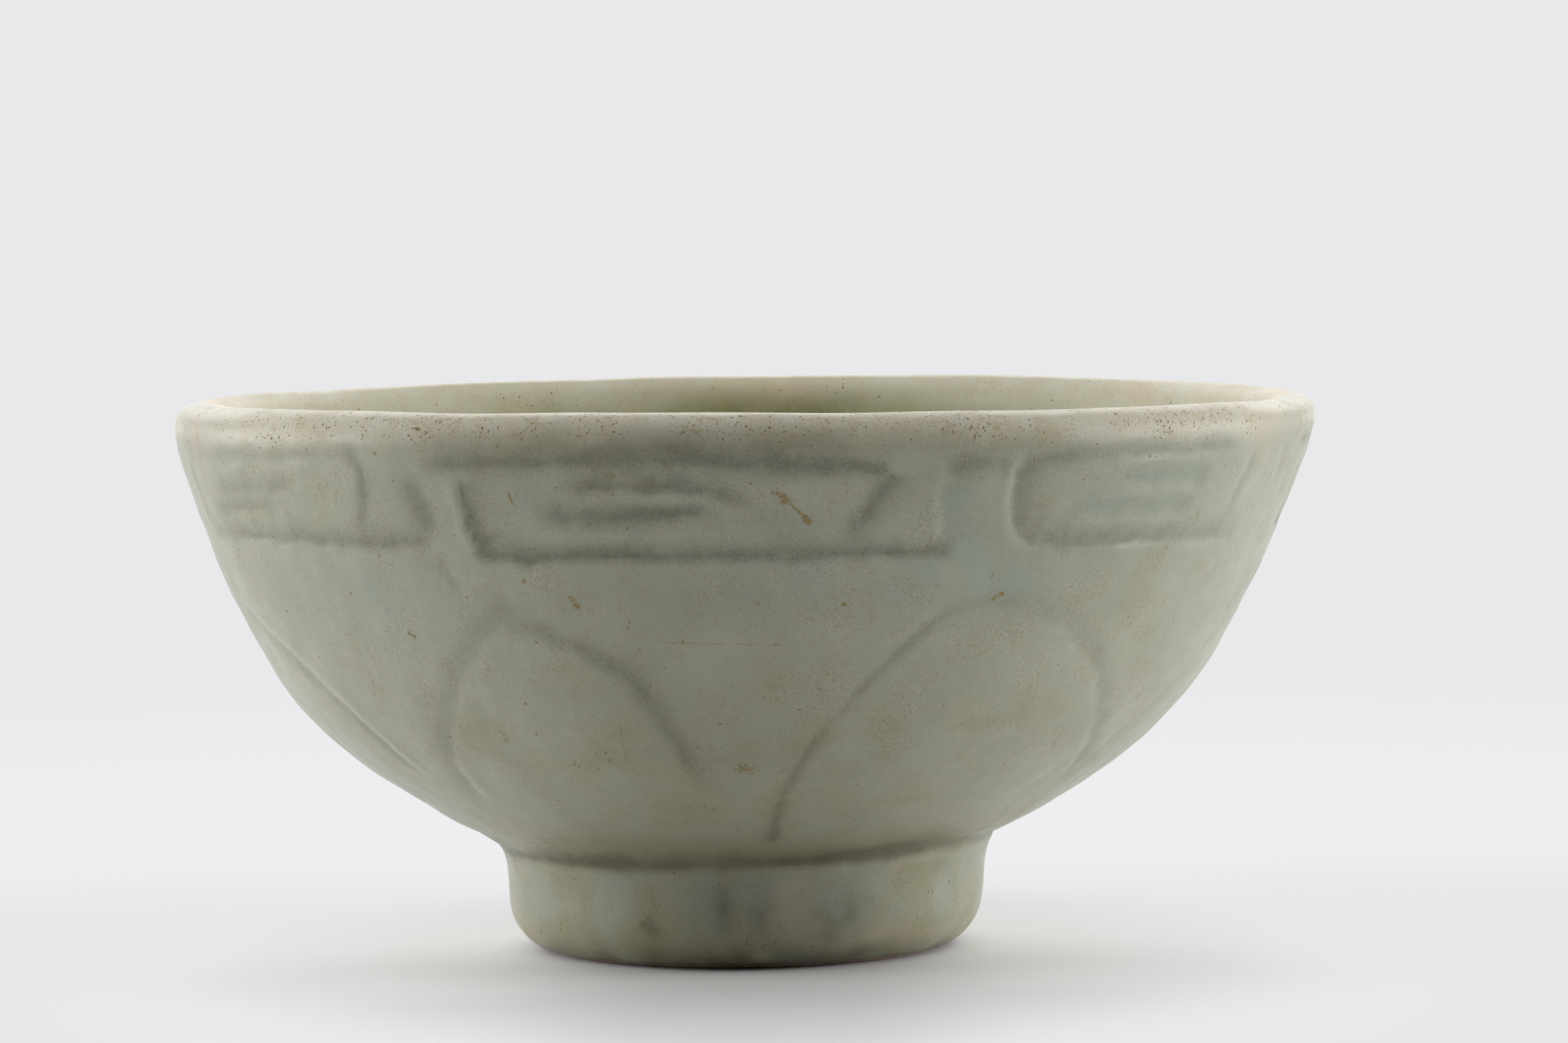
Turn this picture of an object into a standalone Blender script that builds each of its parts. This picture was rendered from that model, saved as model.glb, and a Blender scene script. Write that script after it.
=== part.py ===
"""A celadon bowl on a turned foot ring, in metres, +Z up.

The bowl stands on z = 0 with its axis on the Z axis.  Every piece is turned
about that axis from a profile in the (radius, height) half plane.
"""
import math

import bmesh
import bpy

MM = 0.001

# ---- driving dimensions, in millimetres -----------------------------------
RIM_R = 75.0          # widest radius, just under the lip
HEIGHT = 72.8         # crest of the lip above the table
LIP_CREST_R = 71.5    # radius of the crest line
LIP_DROP = 2.9        # from the crest down to the widest radius
LIP_INNER_R = 68.4    # where the lip turns into the inner wall

JOIN_R, JOIN_Z = 32.0, 14.6     # where the wall springs from the foot
WALL_H1 = (41.5, 19.9)          # lower handle of the wall's curve
WALL_H2 = (64.7, 25.7)          # upper handle of the wall's curve

FOOT_TOP_R = 32.0     # foot radius just under the join
FOOT_R = 31.3         # foot radius at half its height
FOOT_EDGE_Z = 6.0     # where the foot's lower edge starts to turn in
CONTACT_R = 25.6      # outer radius of the ring that touches the table
EDGE_H = (29.6, 2.9)  # handle of the rounded lower edge
RECESS_R = 20.5       # radius of the hollow inside the foot, at the table
RECESS_TOP_R = 20.0   # the same at the top of the ring
BASE_Z = 9.0          # underside of the base, inside the foot ring
SEAM_Z = 14.2         # height of the seam between foot ring and body

FLOOR_Z = 20.0        # inside floor above the table
INNER_H1 = (63.0, 38.0)   # handles of the inner wall's curve
INNER_H2 = (44.0, 20.0)

GLAZE = 0.6           # thickness of the glaze coats
GAP = 0.3             # clearance between neighbouring pieces
GLAZE_STOP_Z = 1.0    # the outer coat ends this high above the table

STEPS = 48            # steps round the axis
WALL_STEPS = 12       # steps along the outer and the inner wall
LIP_STEPS = 4
EDGE_STEPS = 4


# ---- profile curves --------------------------------------------------------
def cubic(p0, p1, p2, p3, t):
    s = 1.0 - t
    return tuple(s * s * s * a + 3 * s * s * t * b + 3 * s * t * t * c + t * t * t * d
                 for a, b, c, d in zip(p0, p1, p2, p3))


def quadratic(p0, p1, p2, t):
    s = 1.0 - t
    return tuple(s * s * a + 2 * s * t * b + t * t * c for a, b, c in zip(p0, p1, p2))


def outer_profile():
    """Finished outside, from the crest of the lip down to the table."""
    pts = []
    lip_z = HEIGHT - LIP_DROP
    for i in range(LIP_STEPS + 1):                       # round of the lip
        a = math.pi / 2 * (1.0 - i / LIP_STEPS)
        pts.append((LIP_CREST_R + (RIM_R - LIP_CREST_R) * math.cos(a),
                    lip_z + LIP_DROP * math.sin(a)))
    for i in range(1, WALL_STEPS + 1):                   # wall
        t = 1.0 - (i / WALL_STEPS) ** 0.9
        pts.append(cubic((JOIN_R, JOIN_Z), WALL_H1, WALL_H2, (RIM_R, lip_z), t))
    pts.append((FOOT_TOP_R - 0.1, JOIN_Z - 1.7))         # foot
    pts.append((FOOT_R + 0.25, JOIN_Z - 4.1))
    for i in range(EDGE_STEPS + 1):                      # rounded lower edge
        t = 1.0 - i / EDGE_STEPS
        pts.append(quadratic((CONTACT_R, 0.0), EDGE_H, (FOOT_R - 0.1, FOOT_EDGE_Z), t))
    return pts


def inner_profile():
    """Finished inside, from the crest of the lip to the middle of the floor."""
    pts = []
    lip_z = HEIGHT - LIP_DROP
    for i in range(LIP_STEPS + 1):
        a = math.pi / 2 * (1.0 - i / LIP_STEPS)
        pts.append((LIP_CREST_R - (LIP_CREST_R - LIP_INNER_R) * math.cos(a),
                    lip_z + LIP_DROP * math.sin(a)))
    for i in range(1, WALL_STEPS + 1):
        t = i / WALL_STEPS
        pts.append(cubic((LIP_INNER_R, lip_z), INNER_H1, INNER_H2, (0.0, FLOOR_Z), t))
    return pts


def offset(pts, side, dist):
    """Move a profile into the wall: side +1 has the wall on the left of travel."""
    out = []
    for i, p in enumerate(pts):
        a = pts[max(i - 1, 0)]
        b = pts[min(i + 1, len(pts) - 1)]
        dr, dz = b[0] - a[0], b[1] - a[1]
        n = math.hypot(dr, dz)
        out.append((p[0] - side * dz / n * dist, p[1] + side * dr / n * dist))
    return out


def into_outer(dist):
    return offset(outer_profile(), -1, dist)


def into_inner(dist):
    pts = offset(inner_profile(), 1, dist)
    pts[-1] = (0.0, FLOOR_Z - dist)
    return pts


# ---- pieces ----------------------------------------------------------------
def material(name, colour, roughness):
    mat = bpy.data.materials.new(name)
    mat.use_nodes = True
    bsdf = mat.node_tree.nodes["Principled BSDF"]
    bsdf.inputs["Base Color"].default_value = (*colour, 1.0)
    bsdf.inputs["Roughness"].default_value = roughness
    bsdf.inputs["Metallic"].default_value = 0.0
    return mat


def turned(name, loop, mat, parent):
    """Turn a closed profile about the Z axis; an open end lies on the axis."""
    bm = bmesh.new()
    on_axis = loop[0][0] == 0.0 and loop[-1][0] == 0.0
    verts = [bm.verts.new((r * MM, 0.0, z * MM)) for r, z in loop]
    edges = [bm.edges.new((a, b)) for a, b in zip(verts, verts[1:])]
    if not on_axis:
        edges.append(bm.edges.new((verts[-1], verts[0])))
    bmesh.ops.spin(bm, geom=verts + edges, cent=(0, 0, 0), axis=(0, 0, 1),
                   angle=2 * math.pi, steps=STEPS, use_merge=True)
    bmesh.ops.remove_doubles(bm, verts=bm.verts[:], dist=1e-7)
    bmesh.ops.recalc_face_normals(bm, faces=bm.faces[:])
    mesh = bpy.data.meshes.new(name)
    bm.to_mesh(mesh)
    bm.free()
    mesh.shade_smooth()
    mesh.set_sharp_from_angle(angle=math.radians(40))
    mesh.materials.append(mat)
    obj = bpy.data.objects.new(name, mesh)
    obj.parent = parent
    bpy.context.scene.collection.objects.link(obj)
    return obj


def main():
    for obj in list(bpy.data.objects):
        bpy.data.objects.remove(obj, do_unlink=True)

    axis = bpy.data.objects.new("bowl_axis", None)
    bpy.context.scene.collection.objects.link(axis)

    clay = material("stoneware", (0.47, 0.36, 0.27), 0.85)
    ring_clay = material("foot_stoneware", (0.42, 0.27, 0.18), 0.9)
    celadon = material("celadon_outside", (0.33, 0.35, 0.28), 0.38)
    celadon_in = material("celadon_inside", (0.35, 0.37, 0.29), 0.36)

    depth = GLAZE + GAP
    outer_clay = into_outer(depth)
    inner_clay = into_inner(depth)

    # body: base inside the foot ring, out over the seam, up the outside,
    # over the lip and down the inside
    body = [p for p in outer_clay[1:] if p[1] > SEAM_Z + GAP]
    body.append((body[-1][0] - 0.1, SEAM_Z + GAP / 2))
    boss_r = RECESS_TOP_R - GAP
    loop = [(0.0, BASE_Z), (boss_r, BASE_Z), (boss_r, SEAM_Z + GAP / 2)] + body[::-1]
    crest = ((outer_clay[0][0] + inner_clay[0][0]) / 2, HEIGHT - depth)
    loop += [crest] + inner_clay[1:]
    turned("bowl_body", loop, clay, axis)

    # foot ring: up the outside from the table, across under the seam, down inside
    ring = [p for p in outer_clay if GLAZE_STOP_Z + 0.6 < p[1] < SEAM_Z - GAP]
    loop = [(RECESS_R, 0.0), (CONTACT_R - 0.2, 0.0)] + ring[::-1]
    loop += [(ring[0][0] - 0.05, SEAM_Z - GAP / 2), (RECESS_TOP_R, SEAM_Z - GAP / 2)]
    turned("foot_ring", loop, ring_clay, axis)

    # outer coat: down the finished outside, back up its hidden side
    face = [p for p in outer_profile() if p[1] >= GLAZE_STOP_Z]
    back = into_outer(GLAZE)[:len(face)]
    face[0] = (LIP_CREST_R + GAP / 2, HEIGHT)
    back[0] = (LIP_CREST_R + GAP / 2, HEIGHT - GLAZE)
    turned("outer_glaze", face + back[::-1], celadon, axis)

    # inner coat: from the crest to the middle of the floor and back underneath
    face = inner_profile()
    back = into_inner(GLAZE)
    face[0] = (LIP_CREST_R - GAP / 2, HEIGHT)
    back[0] = (LIP_CREST_R - GAP / 2, HEIGHT - GLAZE)
    turned("inner_glaze", face[::-1] + back, celadon_in, axis)


main()
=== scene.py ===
"""Looks of the celadon bowl: its carved and glazed surfaces, the bare clay under
the foot, and a plain studio with the camera at the photograph's angle."""

import math

import bpy
import numpy as np
from mathutils import Matrix, Vector


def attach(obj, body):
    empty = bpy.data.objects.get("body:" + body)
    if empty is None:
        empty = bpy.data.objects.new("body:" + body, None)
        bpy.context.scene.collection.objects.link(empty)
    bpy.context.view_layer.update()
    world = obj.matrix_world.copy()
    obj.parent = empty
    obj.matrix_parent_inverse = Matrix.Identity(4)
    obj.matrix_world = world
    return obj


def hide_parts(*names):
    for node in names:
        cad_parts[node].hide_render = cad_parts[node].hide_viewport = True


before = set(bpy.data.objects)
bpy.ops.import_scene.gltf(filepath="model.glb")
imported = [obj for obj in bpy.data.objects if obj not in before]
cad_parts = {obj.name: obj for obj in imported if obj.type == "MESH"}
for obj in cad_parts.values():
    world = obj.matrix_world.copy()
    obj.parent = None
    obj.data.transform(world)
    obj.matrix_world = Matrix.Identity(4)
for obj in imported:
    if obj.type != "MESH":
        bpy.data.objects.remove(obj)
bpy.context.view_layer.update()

MM = 0.001


# ---------------------------------------------------------------------------
# curves
# ---------------------------------------------------------------------------
def nat_spline(t, y, tq):
    """Natural cubic spline through (t, y), read at tq."""
    t, y, tq = (np.asarray(a, float) for a in (t, y, tq))
    n = len(t)
    h = np.diff(t)
    a = np.zeros((n, n))
    b = np.zeros(n)
    a[0, 0] = a[-1, -1] = 1.0
    for i in range(1, n - 1):
        a[i, i - 1], a[i, i], a[i, i + 1] = h[i - 1], 2 * (h[i - 1] + h[i]), h[i]
        b[i] = 6 * ((y[i + 1] - y[i]) / h[i] - (y[i] - y[i - 1]) / h[i - 1])
    m = np.linalg.solve(a, b)
    j = np.clip(np.searchsorted(t, tq) - 1, 0, n - 2)
    d0, d1, hj = tq - t[j], t[j + 1] - tq, h[j]
    return (m[j] * d1 ** 3 + m[j + 1] * d0 ** 3) / (6 * hj) + \
        (y[j] / hj - m[j] * hj / 6) * d1 + (y[j + 1] / hj - m[j + 1] * hj / 6) * d0


class Profile:
    """A smooth (radius, height) curve, read by its arc length."""

    def __init__(self, pts, n=3000):
        p = np.array(pts, float)
        t = np.concatenate([[0], np.cumsum(np.hypot(*np.diff(p, axis=0).T))])
        tq = np.linspace(0, t[-1], n)
        self.r, self.z = nat_spline(t, p[:, 0], tq), nat_spline(t, p[:, 1], tq)
        self.s = np.concatenate([[0], np.cumsum(np.hypot(np.diff(self.r), np.diff(self.z)))])
        self.dr, self.dz = np.gradient(self.r, self.s), np.gradient(self.z, self.s)
        self.length = self.s[-1]

    def at(self, s):
        f = lambda a: np.interp(s, self.s, a)
        dr, dz = f(self.dr), f(self.dz)
        n = np.hypot(dr, dz)
        return f(self.r), f(self.z), dr / n, dz / n

    def s_of_z(self, z):
        top = int(np.argmax(self.z))
        return np.interp(z, self.z[:top + 1], self.s[:top + 1])


# outside, from the ring that touches the table up to the crest of the lip
OUTSIDE = [(25.7, 0.0), (27.2, 0.45), (28.6, 1.15), (29.95, 2.5), (30.85, 4.2), (31.3, 6.2), (31.48, 8.6),
           (31.68, 10.9), (31.98, 12.3), (32.3, 13.2), (32.7, 14.0), (33.15, 14.65), (33.8, 15.25), (34.6, 15.75),
           (35.8, 16.35), (37.6, 17.2), (40.0, 18.42), (43.0, 20.3), (48.63, 23.97), (54.57, 29.0), (60.0, 35.0),
           (64.2, 42.0), (67.8, 49.0), (70.7, 56.0), (73.3, 63.0), (74.55, 67.0), (75.0, 69.6), (74.8, 71.0),
           (74.1, 72.05), (72.95, 72.65), (71.5, 72.85)]
outside = Profile(OUTSIDE)


def inner_points():
    """Inside, from the crest of the lip down the wall to the middle of the floor."""
    pts = [(71.5, 72.85), (70.2, 72.6), (69.15, 71.75), (68.5, 70.4)]
    p = [(68.4, 69.9), (63.0, 38.0), (44.0, 20.0), (0.0, 20.0)]
    for i in range(1, 15):
        t = 0.025 + 0.975 * i / 14
        s = 1 - t
        pts.append(tuple(s ** 3 * a + 3 * s * s * t * b + 3 * s * t * t * c + t ** 3 * d
                         for a, b, c, d in zip(*p)))
    return pts


inside = Profile(inner_points())

# the bowl is a little out of true: the wall leans, the rim is a shallow saddle
LEAN_Z = [0.0, 14.5, 24.0, 40.0, 58.0, 73.0]
LEAN_K = [0.0, 0.0065, 0.0062, 0.0062, 0.0035, -0.0042]


def place(r, phi, z):
    """(radius, angle from the front in degrees, height) in mm to x, y, z in metres."""
    th = np.radians(phi - 90.0)
    # the corner over the foot is cut higher on the right
    r = r - 0.5 * np.sin(np.radians(phi)) * np.exp(-((z - 15.4) / 0.85) ** 2) * np.clip((r - 26.0) / 4.0, 0, 1)
    x, y = r * np.cos(th), r * np.sin(th)
    t = np.clip(z / 73.0, 0, 1)
    k = nat_spline(LEAN_Z, LEAN_K, np.clip(z, 0, 73.0).ravel()).reshape(np.shape(z))
    zz = z + k * x + t * t * (-0.24 * np.cos(2 * th) + 0.17 * np.sin(2 * th))
    zz = zz + t ** 6 * 0.05 * (np.sin(7 * th + 0.6) + np.sin(11 * th + 2.1) + 0.7 * np.sin(19 * th))
    return np.stack([x + 0.71 * t ** 3, y, zz], -1) * MM


# ---------------------------------------------------------------------------
# smooth random fields
# ---------------------------------------------------------------------------
def waves(p, size, seed, n=24):
    """A smooth random field of about unit spread, over points in mm."""
    rng = np.random.default_rng(seed)
    out = np.zeros(p.shape[:-1])
    for _ in range(n):
        d = rng.normal(size=3)
        d /= np.linalg.norm(d)
        out += np.sin(p @ (d * 2 * math.pi / (size * rng.uniform(0.7, 1.6))) + rng.uniform(0, 6.283))
    return out / math.sqrt(n / 2)


# ---------------------------------------------------------------------------
# carving: strokes drawn on the wall as (angle from the front, height)
# ---------------------------------------------------------------------------
STROKES = []


def stroke(pts, w, depth, dark, left=1.0, right=1.0, fade=(2.0, 2.0), ridge=0.0, blue=0.0,
           taper=(1.0, 1.0), dim=(1.0, 1.0)):
    """w: half width; left, right: how much wider that side is, along the direction drawn;
    taper, dim: change of width and of darkness from the start to the end."""
    STROKES.append(dict(pts=pts, w=w, depth=depth, dark=dark, left=left, right=right, fade=fade,
                        ridge=ridge, blue=blue, taper=taper, dim=dim))


def key_open(c, k=0.0, ends=1.0):
    """An open key: two uprights at the left, a slanting end at the right."""
    def P(*pts):
        return [(c + a + 8.0, z + k) for a, z in pts]
    stroke(P((-33.9, 65.8), (-33.2, 63.1), (-32.5, 60.7), (-32.0, 58.8), (-31.6, 57.4)), 1.3, 0.22 * ends, 0.45 * ends, left=1.4, right=0.9, fade=(2.0, 3.0))
    stroke(P((-28.3, 65.6), (-28.0, 63.5), (-27.6, 60.2), (-27.3, 57.5), (-26.9, 56.3)), 1.25, 0.32 * ends, 0.76 * ends, left=2.6, right=0.36, fade=(1.8, 1.0), ridge=0.08 * ends, taper=(0.9, 1.1))
    stroke(P((-27.6, 56.7), (-26.4, 55.8), (-24.6, 55.45), (-20.4, 55.4), (-16.0, 55.55), (-11.7, 55.7), (-7.0, 55.4), (-3.3, 55.6), (2.0, 55.6),
             (7.9, 55.7), (11.8, 55.7), (16.0, 55.5), (19.6, 55.4), (21.3, 55.3)), 1.0, 0.34, 0.84, left=2.1, right=0.62, fade=(0.9, 2.0), taper=(1.1, 0.8), dim=(1.05, 0.85))
    stroke(P((-32.6, 66.0), (-31.0, 66.5), (-28.7, 66.8), (-25.5, 67.0), (-21.3, 67.15), (-13.0, 67.5), (-5.1, 67.5), (0.0, 67.1), (6.0, 66.6), (12.0, 66.1), (13.9, 65.4)), 1.0, 0.28, 0.82, left=1.7, right=1.05, fade=(4.5, 1.5), taper=(0.85, 1.05), dim=(0.84, 1.08))
    stroke(P((13.9, 66.0), (13.3, 64.0), (11.5, 60.4), (9.0, 56.8)), 1.35, 0.28, 0.76, left=1.3, right=1.3, fade=(1.0, 3.5), taper=(1.3, 0.65))
    stroke(P((-18.8, 63.6), (-13.8, 64.1), (-9.0, 64.2), (-4.2, 63.7), (-1.0, 62.7), (2.2, 61.4)), 1.15, 0.22, 0.76, left=1.5, right=0.55, fade=(6.0, 6.0), ridge=0.055)
    stroke(P((-21.0, 60.4), (-14.0, 60.6), (-9.0, 60.85), (-5.2, 61.1), (-0.8, 61.3)), 1.3, 0.22, 0.84, left=1.2, right=1.0, fade=(4.5, 6.0), ridge=0.03)


def key_ring(c, k=0.0, corner=True):
    """A closed key: a ring with strokes inside it and a corner stroke before it."""
    def P(*pts):
        return [(c + a - 43.0, z + k) for a, z in pts]
    if corner:
        stroke(P((18.6, 64.8), (19.4, 65.8), (21.2, 66.4), (23.5, 66.5), (25.9, 66.45)), 1.1, 0.22, 0.58, left=1.4, right=1.5, fade=(2.0, 1.2))
        stroke(P((18.7, 65.2), (19.0, 62.0), (19.5, 58.5), (20.2, 55.2)), 1.0, 0.20, 0.22, left=3.8, right=0.45, fade=(2.0, 2.5), blue=0.6)
    stroke(P((26.6, 66.6), (26.6, 65.4), (26.6, 63.6), (26.8, 61.1), (27.3, 58.6), (28.5, 57.1), (31.0, 56.3)), 1.05, 0.34, 0.78, left=3.0, right=0.42, fade=(1.5, 2.5), ridge=0.03, dim=(1.08, 0.62))
    stroke(P((26.6, 66.4), (26.5, 64.4), (26.6, 62.4), (26.8, 60.4), (27.4, 58.4)), 1.15, 0.0, 0.0, right=0.38, fade=(2.5, 3.5), ridge=0.06)
    stroke(P((26.9, 65.4), (27.5, 66.3), (29.0, 66.8), (32.0, 67.15), (38.0, 67.3), (44.2, 67.4), (50.0, 67.3), (57.0, 67.0)), 0.95, 0.22, 0.50, left=1.3, right=1.5, fade=(1.2, 4.0), blue=0.35, dim=(1.25, 0.6))
    stroke(P((59.6, 67.0), (59.2, 65.0), (58.7, 62.8), (58.2, 60.2), (58.8, 57.6)), 0.95, 0.12, 0.30, left=1.3, right=0.8, fade=(1.5, 3.5), ridge=0.03)
    stroke(P((28.6, 57.6), (30.2, 56.7), (33.6, 56.0), (37.3, 55.8), (42.0, 55.8), (48.3, 55.8), (55.0, 55.5), (62.7, 55.2)), 1.0, 0.26, 0.58, left=2.2, right=0.7, fade=(3.5, 4.0), blue=0.35, dim=(1.1, 0.68))
    stroke(P((36.0, 63.9), (40.0, 64.1), (45.0, 63.9), (50.2, 63.5), (51.8, 62.0)), 1.05, 0.14, 0.26, left=1.3, right=0.9, fade=(6.0, 2.5), blue=0.9, ridge=0.06)
    stroke(P((31.5, 60.9), (38.0, 60.6), (43.0, 60.4), (50.6, 60.2)), 1.1, 0.14, 0.28, left=1.2, right=0.9, fade=(6.0, 2.0), blue=0.9, ridge=0.06)
    stroke(P((68.3, 67.5), (68.2, 63.9), (69.0, 60.8)), 0.9, 0.08, 0.14, fade=(1.5, 3.0), ridge=0.05)


def key_box(c, k=0.0):
    """A long box with two strokes inside it."""
    def P(*pts):
        return [(c + a + 57.0, z + k) for a, z in pts]
    stroke(P((-74.0, 66.4), (-69.0, 66.8), (-62.0, 67.0), (-55.4, 67.2), (-46.4, 67.5), (-42.0, 67.5), (-40.2, 67.0)), 0.95, 0.09, 0.27, left=1.3, right=1.2, fade=(3.0, 1.5))
    stroke(P((-41.4, 67.6), (-40.2, 67.0), (-39.7, 66.0), (-39.7, 64.0), (-40.1, 61.8), (-40.9, 59.6), (-41.1, 58.0)), 1.0, 0.22, 0.52, left=1.9, right=0.5, fade=(1.5, 2.0))
    stroke(P((-73.5, 56.9), (-66.0, 57.1), (-57.6, 57.2), (-48.9, 57.2), (-41.0, 57.0), (-36.5, 57.2), (-33.0, 57.6), (-31.0, 57.8)), 1.0, 0.24, 0.62, left=1.6, right=0.8, fade=(4.0, 4.0), dim=(0.85, 1.1))
    stroke(P((-73.6, 66.0), (-73.1, 62.0), (-72.2, 57.6)), 0.9, 0.12, 0.14, fade=(1.5, 2.0), ridge=0.14)
    stroke(P((-66.0, 62.9), (-58.0, 63.3), (-48.6, 63.7)), 0.9, 0.14, 0.46, left=1.0, right=0.9, fade=(3.0, 4.0))
    stroke(P((-69.7, 60.4), (-62.0, 60.8), (-52.5, 61.1)), 1.0, 0.16, 0.54, left=1.0, right=0.9, fade=(3.0, 4.0))


def petal_bold(c, k=0.0, first=1.0):
    """A petal whose right side is cut broad and deep."""
    def P(*pts):
        return [(c + a + 25.0, z + k) for a, z in pts]
    stroke(P((-23.6, 50.2), (-25.4, 49.0), (-27.6, 47.2), (-30.9, 43.8), (-33.4, 40.8), (-36.8, 36.0), (-40.0, 31.8), (-42.6, 28.4), (-43.7, 25.4), (-45.2, 21.5)),
           1.1, 0.19 * first, 0.34 * first, left=0.7, right=1.8, fade=(2.0, 7.0))
    stroke(P((-29.0, 46.0), (-26.4, 46.8), (-22.9, 46.6), (-19.8, 45.0), (-16.4, 43.4), (-13.1, 40.8), (-10.5, 36.4), (-8.2, 31.7), (-6.4, 27.4), (-4.4, 23.6)),
           1.2, 0.38, 0.59, left=1.9, right=0.70, fade=(11.0, 11.0))


def petal_thin(c, k=0.0):
    """A petal drawn with one thin line, broader and fainter on its right side."""
    def P(*pts):
        return [(c + a - 27.0, z + k) for a, z in pts]
    stroke(P((5.2, 17.0), (5.1, 21.6), (6.1, 25.7), (7.7, 29.3), (9.5, 33.1), (11.3, 35.8)),
           0.62, 0.24, 0.58, left=1.8, right=0.9, fade=(2.0, 6.0), dim=(1.2, 0.7))
    stroke(P((9.7, 33.4), (12.7, 37.8), (15.7, 41.7), (18.7, 45.2), (21.8, 47.9), (25.6, 49.1)),
           0.46, 0.20, 0.40, left=1.6, right=0.9, fade=(7.0, 6.0))
    stroke(P((22.0, 48.2), (25.4, 49.1), (29.5, 48.4), (35.1, 46.3), (40.3, 42.9), (44.7, 39.2), (47.9, 35.2), (51.8, 30.7), (55.4, 26.5), (57.6, 22.8)),
           0.95, 0.18, 0.30, left=1.8, right=0.7, fade=(5.0, 8.0))


# the side that the photograph shows
key_box(-57.0)
key_open(-8.0)
key_ring(43.0)
petal_bold(-25.0)
petal_thin(27.0)
stroke([(-51.9, 24.8), (-53.9, 29.1), (-55.6, 32.7), (-58.4, 36.3), (-62.8, 40.0), (-66.5, 42.6), (-72.0, 45.7), (-75.0, 47.4)],
       0.85, 0.22, 0.34, left=1.0, right=0.9, fade=(7.0, 3.0), ridge=0.15)
stroke([(-77.0, 48.0), (-82.0, 46.4), (-88.0, 42.0), (-93.0, 36.0), (-97.5, 29.0), (-99.0, 22.0)],
       0.9, 0.16, 0.24, left=0.8, right=1.3, fade=(3.0, 5.0))
stroke([(-32.3, 56.0), (-31.0, 53.0), (-29.8, 50.2)], 0.9, 0.16, 0.30, fade=(2.0, 2.5))
# the side that it doesn't show, in the same hand
key_open(97.0, 0.2, 0.4)
key_ring(147.5, -0.2)
key_open(201.5, 0.1)
key_box(252.5, -0.3)
petal_bold(77.5, 0.3, 0.25)
petal_thin(129.0, -0.4)
petal_bold(180.5, 0.2)
petal_thin(231.5, 0.3)


def resample(pts, step=0.8):
    """A smooth polyline through a stroke's points, on (angle, arc length)."""
    a = np.array(pts, float)
    a[:, 1] = outside.s_of_z(a[:, 1])
    rad = np.interp(a[:, 1], outside.s, outside.r)
    d = np.hypot(np.diff(np.radians(a[:, 0])) * (rad[1:] + rad[:-1]) / 2, np.diff(a[:, 1]))
    t = np.concatenate([[0], np.cumsum(d)])
    n = max(4, int(t[-1] / step))
    tq = np.linspace(0, t[-1], n)
    if len(pts) > 2:
        return np.stack([nat_spline(t, a[:, 0], tq), nat_spline(t, a[:, 1], tq)], -1), tq
    return np.stack([np.interp(tq, t, a[:, 0]), np.interp(tq, t, a[:, 1])], -1), tq


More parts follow.
